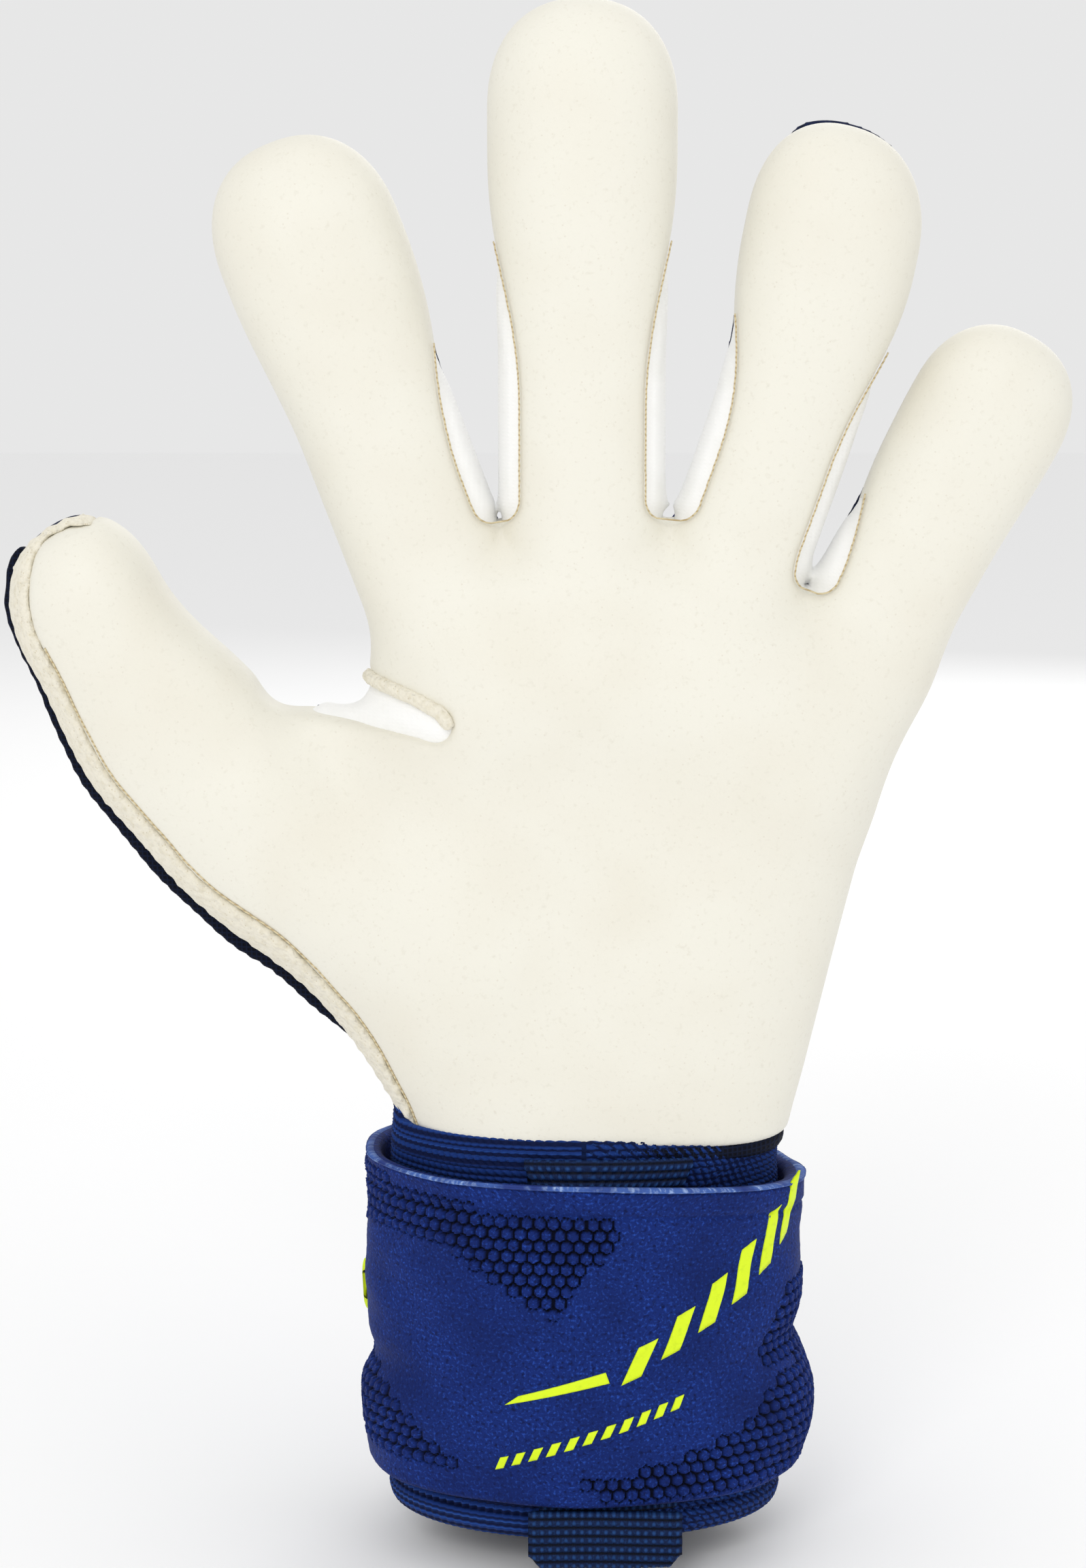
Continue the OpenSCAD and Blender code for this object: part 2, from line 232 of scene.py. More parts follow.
def backhand_look(name, color, deep, pale):
    look = Look(name, color, 0.72, Sheen_Weight=0.04, Sheen_Roughness=0.5, Specular_IOR_Level=DULL)
    mesh = look.cells(1.5, feature="SMOOTH_F1")
    look.tint(mesh, deep, 0.42, 0.10)
    look.tint(look.noise(0.8, 4), pale, 0.55, 0.85)
    return look.relief(mesh, 0.35, 0.7).relief(look.noise(6, 2), 0.35, 0.3).material


def trim_look():
    look = Look("dark_trim_weave", (0.0014, 0.0024, 0.008), 0.75, Specular_IOR_Level=DULL)
    weave = look.math("MAXIMUM", look.bands(0.9, "X", 0.3), look.bands(0.9, "Z", 0.3))
    look.tint(weave, (0.004, 0.008, 0.026), 0.6, 1.0)
    return look.relief(weave, 0.18, 0.6).relief(look.noise(5, 2), 0.3, 0.3).material


def pad_look():
    look = Look("punch_pad_rubber", (0.006, 0.018, 0.085), 0.45, Specular_IOR_Level=2 * DULL)
    look.tint(look.noise(1.2, 4), (0.012, 0.034, 0.13), 0.5, 0.85)
    return look.relief(look.noise(0.5, 3), 0.06, 0.5).shine(look.noise(8, 2), 0.38, 0.55).material


def lining_look():
    look = Look("lining_knit", (0.62, 0.63, 0.66), 0.85, Sheen_Weight=0.3)
    knit = look.math("MULTIPLY", look.bands(1.1, "X", 0.5), look.bands(0.9, "Z", 0.5))
    look.tint(knit, (0.44, 0.45, 0.49), 0.6, 0.1)
    return look.relief(knit, 0.15, 0.6).material


def thread_look():
    look = Look("seam_thread", (0.70, 0.60, 0.38), 0.6)
    look.tint(look.bands(0.9, "Z", 2.0), (0.50, 0.38, 0.20), 0.6, 0.1)
    return look.relief(look.bands(0.5, "X", 2.0), 0.05, 0.6).material


def stay_look():
    look = Look("stay_plastic", (0.03, 0.03, 0.035), 0.4)
    look.tint(look.noise(3, 2), (0.05, 0.05, 0.055), 0.5, 0.9)
    return look.relief(look.noise(0.4, 2), 0.02, 0.4).material


def bandage_look():
    """Elastic knit: columns of short stitches that lean over."""
    look = Look("elastic_knit", (0.009, 0.036, 0.19), 0.75, "UV", Sheen_Weight=0.03, Sheen_Roughness=0.4,
                Specular_IOR_Level=DULL)
    knit = look.math("MULTIPLY", look.bands(1.0, "DIAGONAL", 0.5), look.bands(1.3, "Y", 0.8))
    look.tint(knit, (0.002, 0.007, 0.045), 0.35, 0.05)
    look.tint(look.noise(0.6, 4), (0.028, 0.10, 0.40), 0.56, 0.8)
    return look.relief(knit, 0.30, 0.9).relief(look.noise(0.4, 3), 0.1, 0.5).material


WEAVE_ACROSS, WEAVE_UP = 1.45, 1.6  # one float of the webbing, in millimetres


def webbing_look():
    look = Look("coarse_webbing", (0.0045, 0.015, 0.062), 0.6, "UV", Specular_IOR_Level=DULL)
    look.tint(look.noise(0.5, 4), (0.010, 0.042, 0.15), 0.52, 0.8)
    rows = look.bands(WEAVE_UP, "Y", 0.0)
    floats = look.math("MULTIPLY", rows, look.bands(WEAVE_ACROSS, "X", 0.3))
    # Painted highlight: the tops of the floats lighter, following the woven relief of the geometry
    look.tint(floats, (0.016, 0.060, 0.20), 0.35, 0.95)
    # Painted shade: darker between the rows of floats
    look.tint(rows, (0.001, 0.003, 0.012), 0.42, 0.05)
    return look.relief(look.bands(0.35, "X", 1.0), 0.08, 0.7).material


def strap_look():
    look = Look("brushed_neoprene", (0.0052, 0.021, 0.155), 0.75, "UV", Sheen_Weight=0.03,
                Sheen_Roughness=0.45, Specular_IOR_Level=DULL)
    look.tint(look.noise(0.55, 4), (0.020, 0.075, 0.42), 0.53, 0.72)
    look.tint(look.noise(0.8, 4), (0.002, 0.007, 0.060), 0.48, 0.30)
    look.tint(look.noise(16, 2), (0.003, 0.011, 0.085), 0.42, 0.85)
    # Painted shade: near-black in the grooves between the moulded hexagons, read from the groove attribute
    look.tint(look.attribute("groove"), (0.0008, 0.002, 0.014), 0.05, 0.75)
    return look.relief(look.noise(0.5, 4), 0.22, 0.9).relief(look.noise(3, 2), 0.25, 0.3).material


def raw_edge_look():
    look = Look("raw_edge", (0.05, 0.13, 0.45), 0.8, "UV")
    look.tint(look.noise(0.8, 4), (0.40, 0.55, 0.85), 0.5, 0.72)
    look.tint(look.noise(7, 3), (0.010, 0.035, 0.22), 0.45, 0.62)
    return look.relief(look.noise(0.4, 3), 0.1, 0.7).material


def loop_look():
    look = Look("looped_pile", (0.008, 0.022, 0.11), 0.95, "UV", Sheen_Weight=0.6)
    pile = look.cells(0.8)
    look.tint(pile, (0.002, 0.006, 0.04), 0.1, 0.6)
    return look.relief(pile, 0.5, 1.0).relief(look.noise(0.5, 4), 0.2, 0.8).material


def hook_look():
    look = Look("hook_plastic", (0.012, 0.013, 0.02), 0.5, "UV")
    rows = look.math("MULTIPLY", look.bands(1.1, "X", 0.0), look.bands(0.9, "Y", 0.0))
    look.tint(rows, (0.035, 0.037, 0.05), 0.4, 0.9)
    return look.relief(rows, 0.4, 1.0).material


def print_look():
    look = Look("wrist_print", (0.72, 0.92, 0.005), 0.45, "UV", Specular_IOR_Level=0.4)
    look.tint(look.noise(1.4, 4), (0.55, 0.74, 0.004), 0.55, 0.85)
    return look.relief(look.noise(0.5, 3), 0.05, 0.5).material


# ---------------------------------------- the hand's form, as distance fields in millimetres

CELL = 0.8
LOW = np.array([-110.0, -30.0, 66.0])
HIGH = np.array([92.0, 34.0, 285.0])
COUNT = np.ceil((HIGH - LOW) / CELL).astype(int)
AXES = [(LOW[i] + CELL * np.arange(COUNT[i])).astype(np.float32) for i in range(3)]
X, Y, Z = AXES[0][:, None, None], AXES[1][None, :, None], AXES[2][None, None, :]
ROUND = 2.3  # a digit's section is between an ellipse and a box


def ramp(t):
    t = np.clip(t, 0, 1)
    return t * t * (3 - 2 * t)


def joined(a, b, soft):
    """Union of two fields, with a fillet about as wide as soft."""
    h = np.clip(0.5 + 0.5 * (b - a) / soft, 0, 1)
    return b + (a - b) * h - soft * h * (1 - h)


def common(a, b, soft):
    """What two fields share, with an edge rounded over about soft."""
    return -joined(-a, -b, soft)


def bump(cx, cz, rx, rz):
    return np.exp(-((X - cx) / rx) ** 2 - ((Z - cz) / rz) ** 2)


def through(knots, values):
    """A smooth curve through given values, as a function."""
    knots, values = np.array(knots, float), np.array(values, float)
    slopes = np.gradient(values, knots)

    def at(z):
        i = np.clip(np.searchsorted(knots, z) - 1, 0, len(knots) - 2)
        step = knots[i + 1] - knots[i]
        t = np.clip((z - knots[i]) / step, 0, 1)
        return ((2 * t**3 - 3 * t**2 + 1) * values[i] + (t**3 - 2 * t**2 + t) * step * slopes[i]
                + (3 * t**2 - 2 * t**3) * values[i + 1] + (t**3 - t**2) * step * slopes[i + 1])
    return at


def rounded_form(parts, power):
    """First-order distance to a superellipsoid: parts are (offset, radius) along its local axes."""
    total = sum(np.abs(o / r) ** power for o, r in parts) + 1e-9
    q = total ** (1 / power)
    slope = np.sqrt(sum((np.abs(o / r) ** (power - 1) / r) ** 2 for o, r in parts)) * total ** (1 / power - 1)
    return (q - 1) / (slope + 1e-6)


class Digit:
    """A finger or thumb: local s runs up it from its web, local x across it."""

    def __init__(self, name, knuckle_s, length, widths, depth, bow, tip, gusset_top, root=-30.0,
                 root_length=14.0, lean_in=0.0, slant=0.0):
        self.name, self.length, self.depth, self.bow, self.tip = name, length, depth, bow, tip
        self.gusset_top, self.lean_in, self.slant = gusset_top, lean_in, slant
        self.root, self.root_length = root, root_length
        self.w_low, self.w_high = widths
        knuckle, middle = JOINTS[name + "_knuckle"], JOINTS[name + "_middle_joint"]
        self.across = np.array(knuckle["axis"])
        self.along = np.array([-self.across[2], 0, self.across[0]])
        self.base = np.array(knuckle["pos_m"]) / MM - knuckle_s * self.along
        self.knuckle_s = knuckle_s
        self.middle_s = float((np.array(middle["pos_m"]) / MM - self.base) @ self.along)

    def s(self, x, z):
        return (x - self.base[0]) * self.along[0] + (z - self.base[2]) * self.along[2]

    def x(self, x, z):
        s = self.s(x, z)
        share = np.clip(s / self.length, 0, 1)
        bend = self.bow * np.sin(np.pi * share) + self.lean_in * ramp((share - 0.5) / 0.5)
        return (x - self.base[0]) * self.across[0] + (z - self.base[2]) * self.across[2] - bend

    def width(self, s):
        return self.w_low + (self.w_high - self.w_low) * ramp((s / self.length - 0.3) / 0.4)

    def field(self):
        s, x = self.s(X, Z), self.x(X, Z)
        tip_start = self.length - self.tip
        below = np.clip((self.root - s) / self.root_length, 0, None)
        end = np.where(s > tip_start, (s - tip_start) / self.tip, below)
        depth = self.depth + (19 - self.depth) * np.clip(-s, 0, 30) / 30
        return rounded_form([(x, self.width(s)), (Y, depth), (end * 15, 15.0)], ROUND).astype(np.float32)

    def point(self, s, x=0.0, y=0.0):
        """A place on the digit in metres."""
        return tuple((self.base + s * self.along + x * self.across + np.array([0, y, 0])) * MM)


FINGERS = [
    Digit("index", 11, 76.6, (14.7, 16.8), 14.3, 0.0, 20, 0.505),
    Digit("middle", 12, 91.5, (15.5, 17.0), 14.7, 0.0, 20, 0.60),
    Digit("ring", 11, 75.0, (13.6, 15.8), 13.9, 2.2, 20, 0.575),
    Digit("little", 10, 58.8, (13.6, 14.4), 13.0, 0.0, 17, 0.42),
]
WEB_SOFT = [0.8, 4.0, 3.1]  # how full the webs between the fingers are
THUMB = Digit("thumb", 9, 65.0, (17.8, 14.2), 14.5, -2.0, 18, 0.0, root=8.0, root_length=34.0, lean_in=1.4,
              slant=0.32)
DIGITS = FINGERS + [THUMB]

palm_left = through([60, 73, 84, 106, 130, 157, 175], [-32.5, -33.4, -36.8, -40, -40.5, -40, -43])
palm_right = through([60, 72, 86, 106, 131, 144, 157, 169], [36.5, 37.5, 40.8, 45.6, 51.8, 54.8, 61.5, 68])
palm_depth = through([60, 85, 106, 130, 157], [23.5, 23.5, 23, 21.5, 18.5])


def palm_field():
    left, right = palm_left(AXES[2])[None, None, :], palm_right(AXES[2])[None, None, :]
    centre, half = (left + right) / 2, (right - left) / 2
    end = np.where(Z > 150, (Z - 150) / 20, 0)
    return rounded_form([(X - centre, half), (Y, palm_depth(AXES[2])[None, None, :]), (end * 20, 20.0)], 2.5)


def tapered(start, stop, w, h, power=2.2, ends=12.0):
    """A bar between two points in the plane of the hand, with its half width and half depth at each end."""
    a, b = np.array(start, float), np.array(stop, float)
    d = b - a
    size = np.linalg.norm(d)
    d = d / size
    t = (X - a[0]) * d[0] + (Z - a[1]) * d[1]
    across = (X - a[0]) * d[1] - (Z - a[1]) * d[0]
    share = ramp(t / size)
    over = np.where(t < 0, t, np.where(t > size, t - size, 0))
    return rounded_form([(across, w[0] + (w[1] - w[0]) * share), (Y, h[0] + (h[1] - h[0]) * share),
                         (over, ends)], power)


def hand_field():
    """The outside of the whole hand, before seams and panels."""
    roots = [d.field() for d in FINGERS]
    fingers = roots[0]
    for r, d, soft in zip(roots[1:], FINGERS[1:], WEB_SOFT):
        fingers = joined(fingers, r, soft + 13 * ramp((-1 - d.s(X, Z)) / 12))
    palm = joined(palm_field(), fingers, 9.0)
    thumb_root = tapered((-21, 104), (-61.5, 133), (24.2, 17.0), (19.0, 14.5))
    thumb = joined(thumb_root, THUMB.field(), 5.0)
    web = tapered((-28, 140), (-48, 146.4), (10, 6.5), (12, 7.5), ends=5.0)
    whole = joined(joined(palm, thumb, 10.0), web, 7.5)
    front = ramp((-Y - 2) / 8)
    shape = (-1.6 * bump(6, 126, 20, 20) + 1.3 * bump(-36, 116, 20, 18) + 0.9 * bump(26, 106, 14, 26)
             + 0.7 * bump(-18, 164, 9, 8) + 0.7 * bump(2, 168, 9, 8) + 0.7 * bump(25, 164, 9, 8))
    return (whole - front * shape).astype(np.float32)


HAND = hand_field()
MID_ROW = int(np.argmin(np.abs(AXES[1])))
OUTLINE = HAND[:, MID_ROW:MID_ROW + 1, :]  # distance inside the outline, as seen from the front

# Which panel a point belongs to: fields of the plan, as seen from the front
BACK_EDGE = 5.0        # the latex rolls round to here on most sides
STRIP_EDGE = -1.5      # and the edge strip to here on the thumb side
WEBS = [(-16.3, 186.1, -10.4), (15.0, 186.6, 7.2), (40.0, 173.9, 21.5)]  # crotches: x, z and lean


def gusset_edge(d, s):
    """How far across a finger the latex reaches where a gusset borders it."""
    return d.width(s) * (0.72 + 0.34 * ramp((s / d.length - d.gusset_top + 0.38) / 0.5))


def web_plan(i, x, z):
    """Negative inside the gusset between fingers i and i + 1."""
    a, b = FINGERS[i], FINGERS[i + 1]
    wx, wz, lean = WEBS[i]
    up = (x - wx) * math.sin(math.radians(lean)) + (z - wz) * math.cos(math.radians(lean))
    sides = common(gusset_edge(a, a.s(x, z)) - a.x(x, z), b.x(x, z) + gusset_edge(b, b.s(x, z)), 3.0)
    return common(sides, -up - 0.6, 4.0)


def gusset_plan(x, z):
    return np.minimum(np.minimum(web_plan(0, x, z), web_plan(1, x, z)), web_plan(2, x, z))


def outer_side(x, z):
    """Negative on the thumb's outer side and down the palm's thumb side."""
    s = THUMB.s(x, z)
    return THUMB.x(x, z) + 3 - (3 + 0.62 * THUMB.width(s)) * ramp((s - 38) / 18)


def strip_width(x, z):
    at_tip = ramp((THUMB.s(x, z) - 36) / 10) * ramp((THUMB.x(x, z) + 9) / 9)
    return 2.6 + 2.2 * ramp((z - 72) / 30) - 3.6 * at_tip


GUSSET = gusset_plan(X, Z)
SIDE = outer_side(X, Z)
STRIP = common(-(OUTLINE + strip_width(X, Z)), SIDE, 2.0)
BACK_LINE = BACK_EDGE + (STRIP_EDGE - BACK_EDGE) * ramp(-SIDE / 3)


def line_distance(points, x, z):
    """Distance in the plan from a polyline."""
    best = None
    for (ax, az), (bx, bz) in zip(points, points[1:]):
        dx, dz = bx - ax, bz - az
        t = np.clip(((x - ax) * dx + (z - az) * dz) / (dx * dx + dz * dz), 0, 1)
        d = np.sqrt((x - ax - t * dx) ** 2 + (z - az - t * dz) ** 2)
        best = d if best is None else np.minimum(best, d)
    return best


SLOT = [(-27.2, 150.4), (-40, 154.8), (-54, 157.4)]  # the slot above the thumb's web
SLOT_BELOW = ramp((155.0 - 0.34 * (X + 40) - Z) / 2)
SLOT_PLAN = line_distance(SLOT, X, Z) - 3.2 - 2.3 * ramp((-27 - X) / 16) * SLOT_BELOW
ROLL = [(-41, 157.8), (-37, 157.0), (-31, 155.2), (-26.2, 153.0), (-24.8, 151.0)]  # its rolled rim
PALM_LOW = 74.6 - 1.4 * ramp((X - 5) / 32) - 0.4 * ramp((-X - 5) / 24)


def shell(field, thickness):
    return np.maximum(field, -(field + thickness))


def latex_field():
    panel = common(Y - BACK_LINE, -GUSSET, 1.5)
    panel = common(panel, -STRIP, 1.5)
    panel = common(panel, -SLOT_PLAN, 1.5)
    panel = common(panel, PALM_LOW - Z, 1.2)
    return common(shell(HAND, 4.2), panel, 1.6)


def gusset_field():
    panel = np.maximum(GUSSET - 1.2, Y - BACK_LINE + 0.2)
    puff = 0.7 * ramp((-GUSSET - 0.2) / 2.0)
    return common(shell(HAND + 1.1 - puff, 2.6), panel, 0.8)


def thumb_web_field():
    panel = np.maximum(SLOT_PLAN - 1.2, Y - BACK_LINE + 0.2)
    puff = 0.6 * ramp((-SLOT_PLAN - 0.2) / 2.0)
    return common(shell(HAND + 1.4 - puff, 2.6), panel, 0.8)


def thumb_roll_field():
    """The rolled, rough rim over the slot."""
    rough = 0.22 * np.sin(X * 2.9 + Y) * np.sin(Z * 3.1 - X)
    return np.hypot(line_distance(ROLL, X, Z), HAND + 0.3 + 2 * ramp((Y + 4) / 6)) - 1.35 + rough


def strip_field():
    fuzz = 0.20 * np.sin(X * 2.6 + Z * 1.1) * np.sin(Z * 2.9 - Y * 1.9) * np.sin(Y * 3.1 + X * 1.3)
    fuzz = fuzz + 0.16 * np.sin(X * 1.1 - Z * 1.7) * np.sin(Z * 0.9 + X * 1.4)
    panel = common(STRIP - 0.3, Y - BACK_LINE + 0.2, 1.6)
    panel = common(panel, PALM_LOW - 2.2 - Z, 1.2)
    return common(shell(HAND - 0.3, 4.4), panel, 1.6) + fuzz


def rim_field():
    """Dark binding that stands out past the strip along the thumb's outer side."""
    lumps = 0.35 * np.sin(X * 0.55 + Z * 0.35) * np.sin(Z * 0.21 + 1.0) + 0.12 * np.sin(X * 1.9 - Z * 1.3)
    s = THUMB.s(X, Z)
    width = (2.3 - 1.0 * ramp((s - 24) / 22)) * ramp((Z - 84) / 12) * ramp((72 - s) / 8)
    panel = common(BACK_LINE + 0.3 - Y, Y - BACK_LINE - 6.5, 2.5)
    panel = common(panel, THUMB.x(X, Z) + 5, 2.0)
    panel = common(panel, PALM_LOW - 1.6 - Z, 1.0)
    return common(np.maximum(HAND - width + lumps, -(HAND + 1.4)), panel, 1.5)


def spine(d):
    """Height of the raised stay pocket on the back of a digit."""
    s, x = d.s(X, Z), d.x(X, Z)
    rib = ramp((6.2 - np.abs(x)) / 2.0) * ramp((s + 14) / 3) * ramp((d.length - 13 - s) / 4)
    links = 0.55 * np.exp(-(((s + 2) % 9.0 - 4.5) / 0.9) ** 2) * ramp((5.0 - np.abs(x)) / 1.0)
    return rib * (1.7 - links)


def back_field():
    height = sum(spine(d) for d in DIGITS)
    seams = sum(np.exp(-((d.s(X, Z) - 1.5) / 1.1) ** 2) * ramp((d.width(0) + 2 - np.abs(d.x(X, Z))) / 2)
                for d in DIGITS)
    ring = FINGERS[2]
    cap = 1.6 * ramp((ring.s(X, Z) - ring.length + 12) / 6) * ramp((14 - np.abs(ring.x(X, Z))) / 6)
    edge = 0.9 * np.exp(-((OUTLINE + 9) / 1.0) ** 2) * ramp((Y - 6) / 2)
    rim_bed = 0.6 * ramp((-THUMB.x(X, Z) - 4) / 2) * ramp((BACK_LINE + 7.5 - Y) / 1.5)
    outer = HAND - height + 0.7 * seams + rim_bed - cap * ramp((12 - Y) / 5) + edge * ramp((150 - Z) / 10)
    panel = common(BACK_LINE + 0.15 - Y, PALM_LOW - 0.4 - Z, 1.2)
    return common(np.maximum(outer, -(HAND + 3.2)), panel, 1.6)


def lining_field():
    return np.maximum(shell(HAND + 4.4, 1.6), np.maximum(PALM_LOW - Z, Z - 152))

# ---------------------------------------- pieces: meshes out of the fields, split where the hand bends

START = {"index": 3.5, "middle": 3.5, "ring": 3.5, "little": 3.0, "thumb": 0.0}  # s where each starts to bend
KNUCKLE_REACH = 10.5   # the knuckle's bend is spread this far up and down
MIDDLE_REACH = 11.0    # and the middle joint's this far
SIDE_REACH = 7.0       # a digit's pieces reach this far past its half width
GRID_LIMIT = 2.5


def surface(field, smooth=2):
    """Points in millimetres and quads of the surface of a field, slightly relaxed."""
    grid = openvdb.FloatGrid(GRID_LIMIT)
    grid.copyFromArray(np.clip(np.broadcast_to(field, COUNT), -GRID_LIMIT, GRID_LIMIT).astype(np.float32))
    points, quads = grid.convertToQuads(0.0)
    points, quads = points * CELL + LOW, quads[:, ::-1]
    for _ in range(smooth):
        for pull in (0.5, -0.52):  # a Taubin pass: smooths the grid's steps and keeps the size
            total, count = np.zeros_like(points), np.zeros(len(points))
            for k in range(4):
                for other in (quads[:, (k + 1) % 4], quads[:, k - 1]):
                    for axis in range(3):
                        total[:, axis] += np.bincount(quads[:, k], points[other, axis], len(points))
                    count += np.bincount(quads[:, k], minlength=len(points))
            points = points + pull * (total / np.maximum(count, 1)[:, None] - points)
    return points, quads


def new_mesh(name, points_mm, polygons):
    mesh = bpy.data.meshes.new(name)
    mesh.from_pydata((np.asarray(points_mm) * MM).tolist(), [], [list(map(int, p)) for p in polygons])
    mesh.shade_smooth()
    return mesh


def read(elements, name, kind=float, width=1):
    """One property of all the points, faces or corners of a mesh."""
    values = np.empty(len(elements) * width, kind)
    elements.foreach_get(name, values)
    return values.reshape(-1, width) if width > 1 else values


def bend_limits(d):
    """Where along a digit its knuckle bend starts and ends, and its middle bend starts and ends."""
    start = max(START[d.name], d.knuckle_s - KNUCKLE_REACH)
    halfway = (d.knuckle_s + d.middle_s) / 2
    reach = MIDDLE_REACH * (0.86 if d.slant else 1)
    low_end = min(d.knuckle_s + KNUCKLE_REACH, halfway - 0.3)
    return start, low_end, max(d.middle_s - reach, halfway + 0.3), d.middle_s + reach


def cut_across(mesh):
    """Cuts a mesh along the planes where one piece ends and the next begins, in place."""
    bm = bmesh.new()
    bm.from_mesh(mesh)
    for d in DIGITS:
        start, low_end, high_start, _ = bend_limits(d)
        for s in (start, (low_end + high_start) / 2):
            centre, normal = Vector(d.point(s)), Vector(d.along - d.slant * d.across).normalized()
            reach = (d.width(s) + SIDE_REACH) * MM
            side = Vector(d.across)
            faces = [f for f in bm.faces if abs((f.verts[0].co - centre) @ normal) < 4 * MM
                     and abs((f.verts[0].co - centre) @ side) < reach]
            edges, corners = {e for f in faces for e in f.edges}, {v for f in faces for v in f.verts}
            parts = list(edges) + list(corners) + faces
            bmesh.ops.bisect_plane(bm, geom=parts, dist=1e-6, plane_co=centre, plane_no=normal)
    bm.to_mesh(mesh)
    bm.free()


def owners(centres):
    """Which piece each polygon is in: 0 the hand, then 1 and 2 for each digit's lower and upper piece."""
    x, z = centres[:, 0], centres[:, 2]
    best, owner = np.full(len(x), 9.0), np.zeros(len(x), int)
    for i, d in enumerate(DIGITS):
        start, low_end, high_start, _ = bend_limits(d)
        off = np.abs(d.x(x, z))
        s = d.s(x, z) - d.slant * ((x - d.base[0]) * d.across[0] + (z - d.base[2]) * d.across[2])
        share = off / d.width(d.s(x, z))
        mine = (s > start) & (off < d.width(s) + SIDE_REACH) & (share < best)
        best[mine] = share[mine]
        owner[mine] = 1 + 2 * i + (s[mine] > (low_end + high_start) / 2)
    return owner


def finished(mesh, material, hold, nodes=()):
    """Puts a mesh in the scene with its finish, parents it to the body that holds it (a piece held by a bend
    only has its transform baked), and hides its CAD nodes.
    """
    piece = bpy.data.objects.new(mesh.name, mesh)
    bpy.context.scene.collection.objects.link(piece)
    mesh.materials.append(material)
    if isinstance(hold, str):
        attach(piece, hold)
    else:
        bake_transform(piece)
    if nodes:
        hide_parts(*nodes)


def holder(key):
    """The body or the bend that holds a piece of the hand, by its owner number."""
    if key == 0:
        return "hand"
    d = DIGITS[(key - 1) // 2]
    start, low_end, high_start, end = bend_limits(d)
    if key % 2:
        tilted = (d.along - d.slant * d.across) / (1 + d.slant**2)
        far = np.array(d.point(start)) + (low_end - start) * tilted * MM
        return "hand", d.name + "_lower", d.point(start), tuple(far)
    return d.name + "_lower", d.name + "_tip", d.point(high_start), d.point(end)


def piece_name(key, part, hand_name):
    if key == 0:
        return hand_name
    return DIGITS[(key - 1) // 2].name + ("_lower_" if key % 2 else "_upper_") + part


def publish(points, polygons, part, hand_name, material, slot, stands_for=None, fill=None):
    """Splits one surface into a piece for each stretch of the hand, each with its finish; the hand's own
    piece is parented to the hand, and the CAD node each piece stands for is hidden.
    """
    whole = new_mesh(part, points, polygons)
    cut_across(whole)
    co, normals = read(whole.vertices, "co", width=3), read(whole.vertices, "normal", width=3)
    starts, totals = (read(whole.polygons, "loop_" + name, int) for name in ("start", "total"))
    corners = read(whole.loops, "vertex_index", int)
    owner = owners(np.add.reduceat(co[corners], starts) / totals[:, None] / MM)
    for key in np.unique(owner):
        look = material[min(key, 1)] if isinstance(material, tuple) else material
        chosen = np.flatnonzero(owner == key)
        if len(chosen) < 12:
            continue
        polys = [corners[starts[i]:starts[i] + totals[i]] for i in chosen]
        used, renumbered = np.unique(np.concatenate(polys), return_inverse=True)
        polys = np.split(renumbered, np.cumsum([len(p) for p in polys])[:-1])
        mesh = new_mesh(piece_name(key, part, hand_name), co[used] / MM, polys)
        mesh.normals_split_custom_set_from_vertices(normals[used].tolist())
        nodes = [n for n in [(stands_for or {}).get(key)] if n]
        finished(mesh, look, holder(key), nodes)
    bpy.data.meshes.remove(whole)


def nodes_for(part, hand_node, thumb=True, upper=True):
    """The CAD node that each stretch of one layer stands for."""
    found = {0: hand_node}
    for i, d in enumerate(DIGITS):
        if d is THUMB and not thumb:
            continue
        found[1 + 2 * i] = f"{d.name}_lower_{part}"
        if upper:
            found[2 + 2 * i] = f"{d.name}_upper_{part}"
    return found

# ---------------------------------------- the hand

LATEX, FUZZ, GUSSET_KNIT = latex_look(), fuzz_look(), gusset_look()
BACKHAND = backhand_look("backhand_knit", (0.007, 0.026, 0.17), (0.003, 0.010, 0.065), (0.018, 0.055, 0.29))
FINGER_BACK = backhand_look("finger_back_knit", (0.004, 0.010, 0.045), (0.0015, 0.004, 0.018),
                            (0.010, 0.024, 0.085))
TRIM, PAD, LINING, THREAD, STAY = trim_look(), pad_look(), lining_look(), thread_look(), stay_look()


def binding_field():
    """The bound edge round the bottom of the hand."""
    panel = common(PALM_LOW - 2.7 - Z, Z - PALM_LOW - 0.5, 0.8)
    panel = common(panel, -31 - X, 1.0)
    return common(shell(HAND + 0.45, 3.4), panel, 1.2)


def pad_field():
    """Moulded pad over the knuckles: a rounded slab with a row of raised bars."""
    low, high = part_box("knuckle_pad")
    cx, cz = (low.x + high.x) / 2 / MM, (low.z + high.z) / 2 / MM
    half_x, half_z = (high.x - low.x) / 2 / MM - 1, (high.z - low.z) / 2 / MM - 1
    slant = (Z - cz) + 0.12 * (X - cx)
    inside = rounded_form([(X - cx, half_x), (slant, half_z)], 4.0)
    bars = 0.9 * ramp((np.sin((X - cx + 0.45 * (Z - cz)) * 2 * np.pi / 9.5) + 0.45) / 0.5)
    bars = bars * ramp((-inside - 2.2) / 1.2)
    outer = common(HAND - 1.7 - bars, inside, 2.0)
    return np.maximum(np.maximum(outer, -(HAND + 0.6)), 4 - Y)


